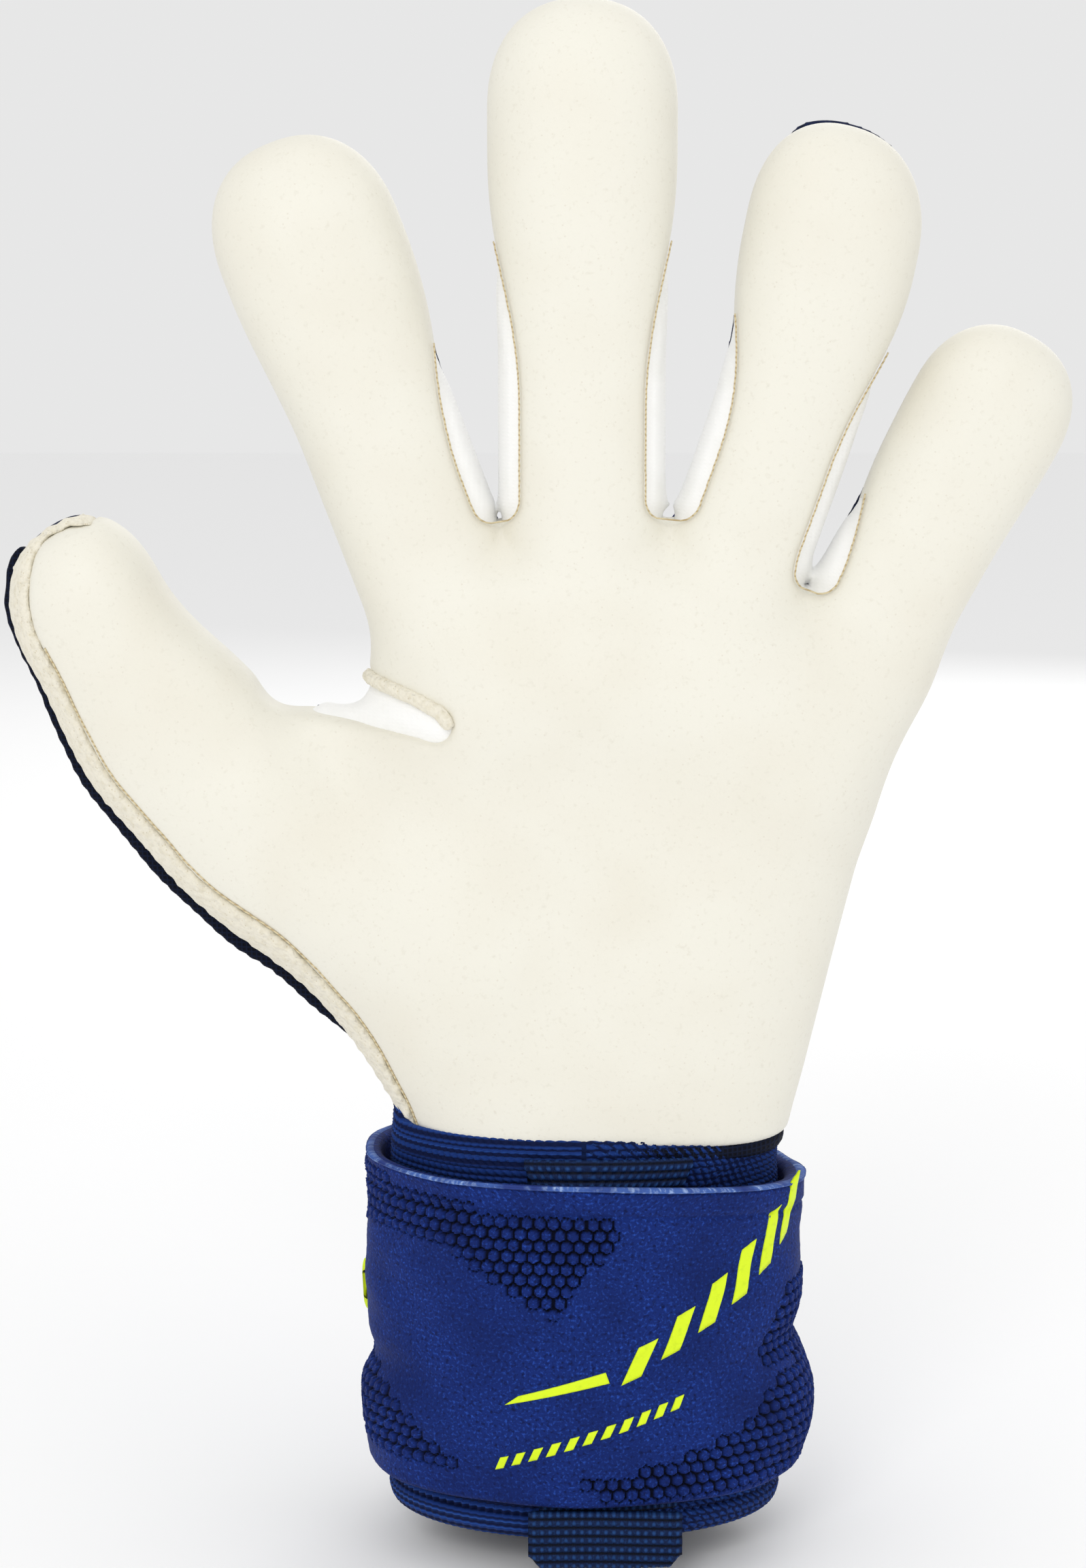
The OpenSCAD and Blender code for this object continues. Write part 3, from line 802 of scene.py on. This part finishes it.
def front_of_hand(x, z):
    """Y of the hand's palm side over points of the plan, and whether there is any."""
    i, k = (x - LOW[0]) / CELL, (z - LOW[2]) / CELL
    a, c = i.astype(int), k.astype(int)
    u, w = (i - a)[:, None], (k - c)[:, None]
    near = HAND[a, :, c] * (1 - u) + HAND[a + 1, :, c] * u
    far = HAND[a, :, c + 1] * (1 - u) + HAND[a + 1, :, c + 1] * u
    column = near * (1 - w) + far * w
    j, rows = np.maximum(np.argmax(column < 0, axis=1), 1), np.arange(len(x))
    before, after = column[rows, j - 1], column[rows, j]
    return LOW[1] + CELL * (j - 1 + before / (before - after)), (column < 0).any(axis=1)


THREAD_RADIUS, THREAD_SIDES = 0.17, 5


def stitched(x, z, deepest):
    """A thread along points of the plan, laid on the palm side."""
    y, there = front_of_hand(x, z)
    keep = there & (y < deepest)
    path = np.stack([x, y + 0.05, z], axis=1)[keep]
    along = np.gradient(path, axis=0)
    along /= np.linalg.norm(along, axis=1)[:, None] + 1e-9
    side = np.cross(along, [0, 1, 0])
    side /= np.linalg.norm(side, axis=1)[:, None] + 1e-9
    up = np.cross(side, along)
    turn = 2 * np.pi * np.arange(THREAD_SIDES) / THREAD_SIDES
    rings = (path[:, None] + THREAD_RADIUS * (np.cos(turn)[None, :, None] * side[:, None]
                                              + np.sin(turn)[None, :, None] * up[:, None]))
    n, m = len(path), THREAD_SIDES
    polygons = [(i * m + j, i * m + (j + 1) % m, (i + 1) * m + (j + 1) % m, (i + 1) * m + j)
                for i in range(n - 1) for j in range(m)]
    return rings.reshape(-1, 3), polygons + [tuple(range(m))[::-1], tuple((n - 1) * m + j for j in range(m))]


def web_seam(web):
    """The edge of the gusset round one web, from one finger to the other."""
    wx, wz, lean = web
    along = np.array([math.sin(math.radians(lean)), math.cos(math.radians(lean))])
    rise, reach = np.arange(-5.5, 52, 0.4), np.arange(0, 17, 0.1)
    halves = []
    for turn in (-1, 1):
        px = wx + rise[:, None] * along[0] + turn * reach[None, :] * along[1]
        pz = wz + rise[:, None] * along[1] - turn * reach[None, :] * along[0]
        inside = gusset_plan(px, pz) < 0
        last = reach[len(reach) - 1 - np.argmax(inside[:, ::-1], axis=1)]
        keep = inside.any(axis=1)
        halves.append(np.stack([wx + rise * along[0] + turn * last * along[1],
                                wz + rise * along[1] - turn * last * along[0]], axis=1)[keep])
    line = np.concatenate([halves[0][::-1], halves[1]])
    return stitched(line[:, 0], line[:, 1], -5.0)


STRIP_SPINE = [(-22, 74.5), (-29, 88), (-45, 108), (-62, 128), (-76, 150), (-84, 166), (-86, 170)]


def strip_seam():
    """The seam between the palm's latex and the edge strip, found outwards from a line down the middle."""
    line = np.array(STRIP_SPINE, float)
    steps = np.concatenate([[0], np.cumsum(np.linalg.norm(np.diff(line, axis=0), axis=1))])
    t = np.arange(0, steps[-1], 0.7)
    at = np.stack([np.interp(t, steps, line[:, 0]), np.interp(t, steps, line[:, 1])], axis=1)
    slope = np.gradient(at, axis=0)
    angle = np.arctan2(slope[:, 1], slope[:, 0]) + np.pi / 2
    angle = np.convolve(np.pad(angle, 8, "edge"), np.ones(17) / 17, "valid")
    reach = np.arange(0, 32, 0.1)
    px = at[:, :1] + reach * np.cos(angle)[:, None]
    pz = at[:, 1:] + reach * np.sin(angle)[:, None]
    i = np.clip(((px - LOW[0]) / CELL).astype(int), 0, COUNT[0] - 1)
    k = np.clip(((pz - LOW[2]) / CELL).astype(int), 0, COUNT[2] - 1)
    first = np.argmax(STRIP[i, 0, k] < 0.2, axis=1)
    rows = np.arange(len(at))
    x, z = px[rows, first], pz[rows, first]
    smooth = lambda v: np.convolve(np.pad(v, 4, "edge"), np.ones(9) / 9, "valid")
    return stitched(smooth(x), smooth(z), BACK_EDGE)


def hand_pieces():
    publish(*surface(latex_field()), "latex", "palm_foam", LATEX, "palm_latex",
            nodes_for("latex", "palm_latex"), 0.8)
    publish(*surface(gusset_field()), "gusset", "finger_webs", GUSSET_KNIT, "gusset",
            nodes_for("gusset", "finger_web_gussets", thumb=False, upper=False))
    publish(*surface(strip_field()), "edge", "palm_edge", FUZZ, "edge_latex",
            {0: "palm_edge_strip", 9: "thumb_lower_edge_strip", 10: "thumb_upper_edge_strip"}, 0.7)
    publish(*surface(thumb_web_field()), "web", "thumb_web", GUSSET_KNIT, "gusset", {0: "thumb_web_gusset"})
    publish(*surface(thumb_roll_field()), "web_roll", "thumb_web_roll", FUZZ, "edge_latex", fill=0.7)
    publish(*surface(back_field()), "back_cover", "backhand", (BACKHAND, FINGER_BACK),
            ("backhand", "dark_trim"), nodes_for("back", "backhand_panel"))
    publish(*surface(rim_field()), "rim", "palm_outer_rim", TRIM, "dark_trim")
    for i, web in enumerate(WEBS):
        publish(*web_seam(web), f"web_seam_{i + 1}", f"web_seam_{i + 1}", THREAD, "seam_thread")
    publish(*strip_seam(), "strip_seam", "palm_strip_seam", THREAD, "seam_thread")
    publish(*surface(binding_field()), "binding", "palm_edge_binding", TRIM, "dark_trim", {0: "palm_binding"})
    publish(*surface(pad_field()), "pad", "punch_pad", PAD, "punch_pad", {0: "knuckle_pad"}, 0.9)
    publish(*surface(lining_field()), "lining", "palm_lining", LINING, "lining", {0: "hand_lining"})


def stays():
    for name, node in frame["nodes"].items():
        if name.endswith("stay") or name == "stay_roots":
            node.data.materials.clear()
            node.data.materials.append(STAY)


hand_pieces()
stays()

# ---------------------------------------- the wrist: bands swept round the cuff

NECK_TOP = 76.0
CUFF_HEIGHTS = [0, 4, 8, 22, 32, 45, 58, 66, 72, 84]
cuff_width = through(CUFF_HEIGHTS, [35.2, 36.2, 36.4, 37.2, 36.2, 36.6, 36.2, 35.9, 35.9, 35.9])
STRAP_LOW, STRAP_HIGH = (corner.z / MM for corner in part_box("strap_wrap"))
STRAP_START, STRAP_END = -188.0, 236.0
TAIL_SPLIT, END_SPLIT = 104.0, 150.0
PITCH = 2.45           # of the moulded hexagons
HEM = 5.4              # from the raw edge down to its stitching
WRAP_X, WRAP_Y = 41, 29  # half width and half depth of the round that lengths along the strap follow

# Where the strap carries hexagons, as corners in degrees round the cuff and millimetres up it
HEX_ZONES = [
    [(-96, 68), (-60, 65.5), (-10, 62.5), (9, 61.5), (-7, 43), (-42, 56.5), (-96, 55)],
    [(52, 32), (64, 45), (100, 46), (100, 30)],
    [(-100, 31), (-62, 26), (-35, 14.5), (-60, 13.5), (-100, 16)],
    [(-10, 11.5), (12, 14.5), (45, 21), (60, 29), (100, 31), (100, 10), (20, 9.5)],
]


def cuff_radii(z):
    """Half width, half depth and squareness of the wrist at a height."""
    width = cuff_width(z)
    return width, 25 - (37.2 - width) * 0.9, 2.0 + 0.5 * ramp((z - 64) / 9)


def around(phi, z, offset):
    """A place on the wrist, phi degrees round from the palm side, in millimetres."""
    width, depth, power = cuff_radii(z)
    s, c = np.sin(np.radians(phi)), np.cos(np.radians(phi))
    return np.stack([(width + offset) * np.sign(s) * np.abs(s) ** (2 / power),
                     -(depth + offset) * np.sign(c) * np.abs(c) ** (2 / power), z + 0 * s], -1)


def arc(phi):
    """Length along the strap at an angle, in millimetres."""
    table = np.linspace(-200, 260, 921)
    t = np.radians(table)
    steps = np.hypot(WRAP_X * np.cos(t), WRAP_Y * np.sin(t)) * np.radians(0.5)
    return np.interp(phi, table, np.cumsum(steps)) - np.interp(0, table, np.cumsum(steps))


def waviness(u, z, size, seed):
    """A smooth uneven surface, about -1 to 1, made of a few crossing waves."""
    rng = np.random.default_rng(seed)
    total = 0
    for _ in range(6):
        angle, phase = rng.uniform(0, np.pi), rng.uniform(0, 2 * np.pi)
        k = 2 * np.pi / (size * rng.uniform(0.7, 1.5))
        total = total + np.sin(k * (u * math.cos(angle) + z * math.sin(angle)) + phase)
    return total / 3.5


def inside_zone(zone, phi, z):
    inside = np.zeros(np.broadcast(phi, z).shape, bool)
    for (ax, az), (bx, bz) in zip(zone, zone[1:] + zone[:1]):
        crosses = (az > z) != (bz > z)
        inside ^= crosses & (phi < (bx - ax) * (z - az) / ((bz - az) or 1e-9) + ax)
    return inside


def hexagons(phi, z):
    """Height of the moulded hexagons: low domes parted by narrow grooves, whole cells only."""
    u = arc(phi)
    cell = np.array([PITCH, PITCH * math.sqrt(3)])
    a = [np.mod(u, cell[0]) - cell[0] / 2, np.mod(z, cell[1]) - cell[1] / 2]
    b = [np.mod(u - cell[0] / 2, cell[0]) - cell[0] / 2, np.mod(z - cell[1] / 2, cell[1]) - cell[1] / 2]
    first = a[0] ** 2 + a[1] ** 2 < b[0] ** 2 + b[1] ** 2
    gx, gz = np.where(first, a[0], b[0]), np.where(first, a[1], b[1])
    edge = PITCH / 2 - np.maximum(np.abs(gx), np.abs(gx) * 0.5 + np.abs(gz) * math.sqrt(3) / 2)
    centre_phi, centre_z = phi - gx / np.maximum(np.abs(arc(phi + 0.5) - arc(phi - 0.5)), 0.3), z - gz
    chosen = np.zeros(np.broadcast(phi, z).shape, bool)
    for zone in HEX_ZONES:
        chosen |= inside_zone(zone, centre_phi, centre_z)
    dome = 0.45 * ramp(edge / 0.5) - 0.15 * ramp((edge - 0.45) / 0.6)
    groove = 0.95 * ramp((0.42 - edge) / 0.42)
    return np.where(chosen, dome - groove, 0.0)


def strap_top(phi):
    """The strap's upper edge falls a little as it goes round."""
    fall = -0.4 * ramp((phi + 90) / 90) - 4.6 * ramp(phi / 95) - 2.0 * ramp((phi - 100) / 120)
    return STRAP_HIGH + 1.8 + fall


def strap_lift(phi):
    """The tail rises over the start of the strap at the back of the wrist."""
    return 5.4 * ramp((phi - 104) / 40)


def strap_relief(phi, z):
    u, top = arc(phi), strap_top(phi)
    side = ramp((np.abs(phi) - 30) / 45) * ramp((150 - np.abs(phi)) / 30)
    folds = -1.3 * np.exp(-((z - 32 - 0.03 * phi) / 3.2) ** 2) * side
    folds = folds + 0.5 * waviness(u, z, 26, 3) + 0.25 * waviness(u, z, 11, 8) * (0.4 + 0.6 * side)
    folds = folds + 1.9 * np.exp(-((z - 20) / 9) ** 2) * ramp((phi - 40) / 40) * ramp((150 - phi) / 30)
    folds = folds + 0.8 * np.exp(-((z - 20) / 9) ** 2) * ramp((-phi - 40) / 40) * ramp((150 + phi) / 30)
    flare = 1.2 * ramp((z - top + 12) / 12) * ramp((phi + 20) / 40) * ramp((110 - phi) / 20)
    stitch = 0.6 + 0.4 * np.abs(np.sin(u * np.pi / 2.6))
    hem = -0.5 * np.exp(-((z - top + HEM) / 0.45) ** 2) * stitch + 0.25 * ramp((z - top + HEM - 0.4) / 1.0)
    return folds + flare + hem + hexagons(phi, z) + 0.04 * waviness(u, z, 1.6, 5)


def swept(phis, low, high, inner, outer, step, relief=None, thin=None, heights=None):
    """A band as a grid of points and its map. low, high, inner and outer are numbers or functions of phi."""
    def value(v):
        return (v(phis) if callable(v) else np.full(len(phis), float(v)))[:, None]
    low, high, inner, outer = value(low), value(high), value(inner), value(outer)
    r = (outer - inner) / 2
    n = max(3, int(np.max(high - low) / step))
    share = np.linspace(0, 1, n)[None, :] if heights is None else np.asarray(heights)[None, :]
    turn = np.radians([30, 60, 90, 120, 150])[None, :]
    back = np.linspace(1, 0, max(4, n // 6))[None, :]
    z = np.concatenate([low + r + (high - low - 2 * r) * share, high - r + r * np.sin(turn),
                        low + r + (high - low - 2 * r) * back, low + r - r * np.sin(turn)], 1)
    offset = np.concatenate([outer + 0 * share, outer - r + r * np.cos(turn), inner + 0 * back,
                             inner + r - r * np.cos(turn)], 1)
    phi = phis[:, None] + 0 * z
    if relief is not None:
        m = share.shape[1]
        weight = np.zeros(z.shape[1])
        weight[:m] = 1
        weight[m:m + 5] = np.linspace(0.9, 0.1, 5)
        weight[-5:] = np.linspace(0.1, 0.9, 5)
        offset = offset + relief(phi, z) * weight
        if thin is not None:
            offset = offset + thin(phi, z) * (1 - weight)
    return around(phi, z, offset), np.stack([arc(phi), z], -1) * MM


def set_map(mesh, uv):
    """Gives the points of a mesh their places in a map, in metres."""
    corners = read(mesh.loops, "vertex_index", int)
    mesh.uv_layers.new(name="map").data.foreach_set("uv", uv.reshape(-1, 2)[corners].ravel())


def band_mesh(name, grid, uv, columns=slice(None), closed=False, groove=None):
    """One band, or the columns of one, as a mesh with a map in metres and, when given, how far down a groove
    each point lies, for the strap's painted groove shade.
    """
    grid = grid[columns]
    p, j = grid.shape[:2]
    a = np.arange(p if closed else p - 1)[:, None]
    b, c = (a + 1) % p, np.arange(j)[None, :]
    d = (c + 1) % j
    polygons = np.stack([a * j + c, b * j + c, b * j + d, a * j + d], -1).reshape(-1, 4).tolist()
    if not closed:
        polygons += [list(range(j))[::-1], [(p - 1) * j + k for k in range(j)]]
    mesh = new_mesh(name, grid.reshape(-1, 3), polygons)
    set_map(mesh, uv[columns])
    if groove is not None:
        mesh.attributes.new("groove", "FLOAT", "POINT").data.foreach_set("value", groove[columns].ravel())
    return mesh


def band(name, material, slot, hold, node, phis, *shape, closed=False):
    """One whole band round the wrist, in the scene."""
    finished(band_mesh(name, *swept(phis, *shape), closed=closed), material, hold, [node])


def slab(front, back):
    """Points and polygons of a thin piece between two grids of points."""
    n, m = front.shape[:2]
    index = np.arange(n * m).reshape(n, m)
    face = np.stack([index[:-1, :-1], index[1:, :-1], index[1:, 1:], index[:-1, 1:]], -1).reshape(-1, 4)
    ring = np.concatenate([index[:, 0], index[-1, 1:], index[-2::-1, -1], index[0, -2:0:-1]])
    after = np.roll(ring, -1)
    sides = np.stack([after, ring, ring + n * m, after + n * m], -1)
    points = np.concatenate([front.reshape(-1, 3), back.reshape(-1, 3)])
    return points, np.concatenate([face, face[:, ::-1] + n * m, sides])


def heights_of(node):
    """Bottom and top of a CAD node, in millimetres."""
    low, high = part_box(node)
    return low.z / MM, high.z / MM


FINE = 0.36


def strap_angles():
    """Fine steps where the strap shows its front, wider ones behind."""
    found = [STRAP_START]
    while found[-1] < STRAP_END:
        phi = found[-1]
        turn, step = math.radians(phi), FINE if abs(phi) < 100 else 1.0
        length = math.hypot(WRAP_X * math.cos(turn), WRAP_Y * math.sin(turn)) * math.radians(1)
        found.append(phi + step / length)
    return np.array(found[:-1] + [STRAP_END])


def strap_corner(phi):
    """How much the rounded corners of the strap's free end take off its height."""
    radius = 9.0
    left = np.clip(arc(STRAP_END) - arc(phi), 0, radius)
    return radius - np.sqrt(np.maximum(radius**2 - (radius - left) ** 2, 0))


def hinge_bend(joint, reach_before, reach_after):
    """Start and end of a fold in the strap, reach degrees each side of a joint's axis."""
    x, y, z = JOINTS[joint]["pos_m"]
    half_width, half_depth = 49.7, 37.5  # of the strap where it lies over itself
    phi = math.degrees(math.atan2(x / half_width, -y / half_depth)) % 360
    return [tuple(around(np.array(phi + d), np.array(z / MM), np.array(6.0)) * MM)
            for d in (-reach_before, reach_after)]


def strap_pieces():
    phis = strap_angles()
    low = lambda p: STRAP_LOW + strap_corner(p)
    high = lambda p: strap_top(p) - strap_corner(p)
    grid, uv = swept(phis, low, high, lambda p: 1.5 + strap_lift(p), lambda p: 4.1 + strap_lift(p), FINE,
                     strap_relief, lambda p, z: 0.5 * waviness(arc(p), z, 26, 3))
    splits = [int(np.argmin(np.abs(phis - v))) for v in (TAIL_SPLIT, END_SPLIT)]
    spans = [slice(0, splits[0] + 1), slice(splits[0], splits[1] + 1), slice(splits[1], len(phis))]
    # How far down a hexagon groove each point lies, which the strap's finish turns into painted shade
    groove = np.clip(-hexagons(phis[:, None], uv[..., 1] / MM) / 0.5, 0, 1)
    normals = read(band_mesh("strap", grid, uv).vertices, "normal", width=3).reshape(grid.shape)
    holds = ["cuff", ("cuff", "strap_tail", *hinge_bend("strap_peel", 14, 14)),
             ("strap_tail", "strap_end", *hinge_bend("strap_end_peel", 11, 11))]
    for part, node, span, hold in zip(("body", "fold", "flap"), ("strap_wrap", "strap_tail", "strap_end"),
                                      spans, holds):
        mesh = band_mesh("strap_" + part, grid, uv, span, groove=groove)
        mesh.normals_split_custom_set_from_vertices(normals[span].reshape(-1, 3).tolist())
        finished(mesh, STRAP, hold, [node])
    rim, rim_uv = swept(phis, lambda p: high(p) - 0.75, lambda p: high(p) + 0.12,
                        lambda p: 3.1 + strap_lift(p), lambda p: 4.35 + strap_lift(p), 0.4,
                        lambda p, z: strap_relief(p, z) * 0.98)
    for part, span, hold in zip(("body", "fold", "flap"), spans, holds):
        finished(band_mesh("strap_raw_edge_" + part, rim, rim_uv, span), RAW_EDGE, hold)


def closure_pieces():
    """Hook and loop between the strap's end and its start, and the tab that pulls it open."""
    phis = np.arange(174, 232.1, 1.0)
    rough = lambda p, z: 0.18 * waviness(arc(p), z, 1.5, 11)
    band("loop_patch", LOOP, "loop", "cuff", "loop_pad", phis, *heights_of("loop_pad"), 4.2, 5.3, 0.6, rough)
    band("hook_patch", HOOK, "hook", "strap_end", "hook_pad", phis[:57], *heights_of("hook_pad"), 5.75, 6.8,
         0.6)
    low, high = heights_of("strap_finger_tab")
    start, end, corner = 231, 248, 4.5
    cut = lambda p: corner - np.sqrt(corner**2 - (corner - np.clip(arc(end) - arc(p), 0, corner)) ** 2)
    ribs = lambda p, z: 0.45 * ramp((np.sin(arc(p) * 2 * np.pi / 2.2) + 0.3) / 0.5) * ramp((p - 237) / 2)
    band("strap_pull_grip", PRINT, "print", "strap_end", "strap_finger_tab", np.linspace(start, end, 48),
         lambda p: low + cut(p), lambda p: high - cut(p), 7.4, 9.0, 0.5, ribs)


WRIST_BEND = ("cuff", "hand", (0, 0, 0.060), (0, 0, 0.072))  # the cuff, the hand and two points between them, for what is sewn to both; a piece given this only has its transform baked


def wrist_bandage():
    """The elastic cuff under the strap, ribbed where it shows; its neck is sewn under the hand's binding."""
    phis = np.arange(0, 360, 0.65)
    over = lambda p: NECK_TOP + 6.5 * ramp((26 - np.abs(p - 270)) / 22)  # it climbs beside the thumb's strip
    fine = 0.4
    heights = np.concatenate([np.arange(4.2, 13, fine), np.arange(13, 56, 3),
                              np.arange(56, NECK_TOP - 0.9, fine)])

    def ribs(phi, z):
        u = arc(np.where(phi > 180, phi - 360, phi))
        lean = np.where(z > 40, 0.9, -0.25)
        rib = 0.30 * np.sin(2 * np.pi * (u + lean * z) / 1.9) + 0.12 * np.sin(2 * np.pi * z / 1.3)
        return rib + 0.35 * waviness(u, z, 17, 21) - 0.25
    share = (heights - heights[0]) / (heights[-1] - heights[0])
    band("elastic_cuff", BANDAGE, "bandage", WRIST_BEND, "wrist_bandage", phis, 3.2, over, -2.0, 0.0, 1.0,
         ribs, None, share, closed=True)
    rim = lambda p, z: 0.16 * np.sin(2 * np.pi * arc(np.where(p > 180, p - 360, p)) / 1.9)
    band("cuff_rolled_hem", BANDAGE, "bandage", "cuff", "cuff_hem", phis, 0.1, 5.0, -2.5, 0.75, 0.45, rim,
         closed=True)


def weave(u, z, across, up):
    """Height of a coarse plain weave: rows of rounded floats, every other row set over by half."""
    row = np.floor(z / up)
    shift = np.where(np.mod(row, 2) > 0.5, 0.5, 0.0)
    a, b = np.mod(u / across + shift, 1) - 0.5, np.mod(z / up, 1) - 0.5
    return 0.62 * np.sqrt(np.clip(1 - (a / 0.52) ** 2, 0, 1)) * np.sqrt(np.clip(1 - (b / 0.54) ** 2, 0, 1))


def webbing_pieces():
    phis = np.linspace(-13, 26, 120)
    knit = lambda p, z: weave(arc(p), z, WEAVE_ACROSS, WEAVE_UP)
    band("wrist_webbing", WEBBING, "webbing", WRIST_BEND, "webbing_strip", phis, 6.2, 72.6, 0.1, 1.15, 0.3,
         knit)
    low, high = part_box("pull_tab")
    middle, half, thick = (low.x + high.x) / 2 / MM, (high.x - low.x) / 2 / MM, 1.5
    xs = np.linspace(-half, half, 100)[:, None]
    zs = np.linspace(0, 1, 56)[None, :]
    bottom, top, front = low.z / MM, high.z / MM + 0.7, low.y / MM + 0.4
    corner = 2.2 * ramp((np.abs(xs) - half + 2.6) / 2.6) + 0.5 * ramp((xs - 2) / 10)
    z = bottom + corner + (top - bottom - corner) * zs
    x = xs + middle + 0 * z
    dip = 0.35 * np.sin((xs / half + 1) * 2.2) - 0.5 * (1 - zs)
    round_edge = 0.5 * ramp(1 - (half - np.abs(xs)) / 1.2) + 0.5 * ramp(1 - zs / 0.06)
    outer = front + dip - weave(x, z, WEAVE_ACROSS, WEAVE_UP) + round_edge
    inner = front + dip + thick - round_edge
    points, polygons = slab(np.stack([x, outer, z], -1), np.stack([x, inner, z], -1))
    mesh = new_mesh("pull_loop", points, polygons)
    set_map(mesh, points[:, [0, 2]] * MM)
    px, py, pz = JOINTS["pull_tab_lift"]["pos_m"]
    finished(mesh, WEBBING, ("cuff", "pull_tab", (px, py, pz + 0.0005), (px, py, pz - 0.0035)),
             ["pull_tab"])


def printed_bar(corners):
    """A printed bar on the front of the strap, from four corners in degrees and millimetres."""
    a, b, c, d = (np.array(p, float) for p in corners)
    n, m = 36, 10
    s, t = np.linspace(0, 1, n)[:, None, None], np.linspace(0, 1, m)[None, :, None]
    place = a * (1 - s) * (1 - t) + b * s * (1 - t) + c * s * t + d * (1 - s) * t
    phi, z = place[..., 0], place[..., 1]
    top = 4.1 + strap_lift(phi) + strap_relief(phi, z)
    edge = np.minimum(np.minimum(s, 1 - s)[..., 0] * n, np.minimum(t, 1 - t)[..., 0] * m)
    points, polygons = slab(around(phi, z, top + 0.12 + 0.14 * ramp(edge / 1.5)), around(phi, z, top - 0.25))
    return points, polygons, np.tile(np.stack([arc(phi), z], -1).reshape(-1, 2) * MM, (2, 1))


def wrist_print():
    """A plain pattern: a long tapered stripe, slanted bars that grow along it, and a row of small dashes."""
    bars = [[(-21, 27.5), (6, 32.0), (5, 34.0), (-17.5, 29.3)]]
    for k in range(6):
        phi, z, tall = 9 + 10.5 * k, 31.5 + 4.4 * k, 7.0 + 0.9 * k
        bars.append([(phi, z), (phi + 5.2, z + 1.6), (phi + 9.6, z + 1.6 + tall), (phi + 4.4, z + tall)])
    for k in range(11):
        phi, z = -24 + 4.6 * k, 14.8 + 1.12 * k
        bars.append([(phi, z), (phi + 2.4, z + 0.5), (phi + 4.0, z + 3.0), (phi + 1.6, z + 2.5)])
    points, polygons, maps = zip(*(printed_bar(b) for b in bars))
    faces = [f + n * len(points[0]) for n, f in enumerate(polygons)]
    mesh = new_mesh("wrist_print", np.concatenate(points), np.concatenate(faces))
    set_map(mesh, np.concatenate(maps))
    finished(mesh, PRINT, "cuff")


BANDAGE, WEBBING, STRAP, RAW_EDGE = bandage_look(), webbing_look(), strap_look(), raw_edge_look()
LOOP, HOOK, PRINT = loop_look(), hook_look(), print_look()
strap_pieces()
closure_pieces()
wrist_bandage()
webbing_pieces()
wrist_print()
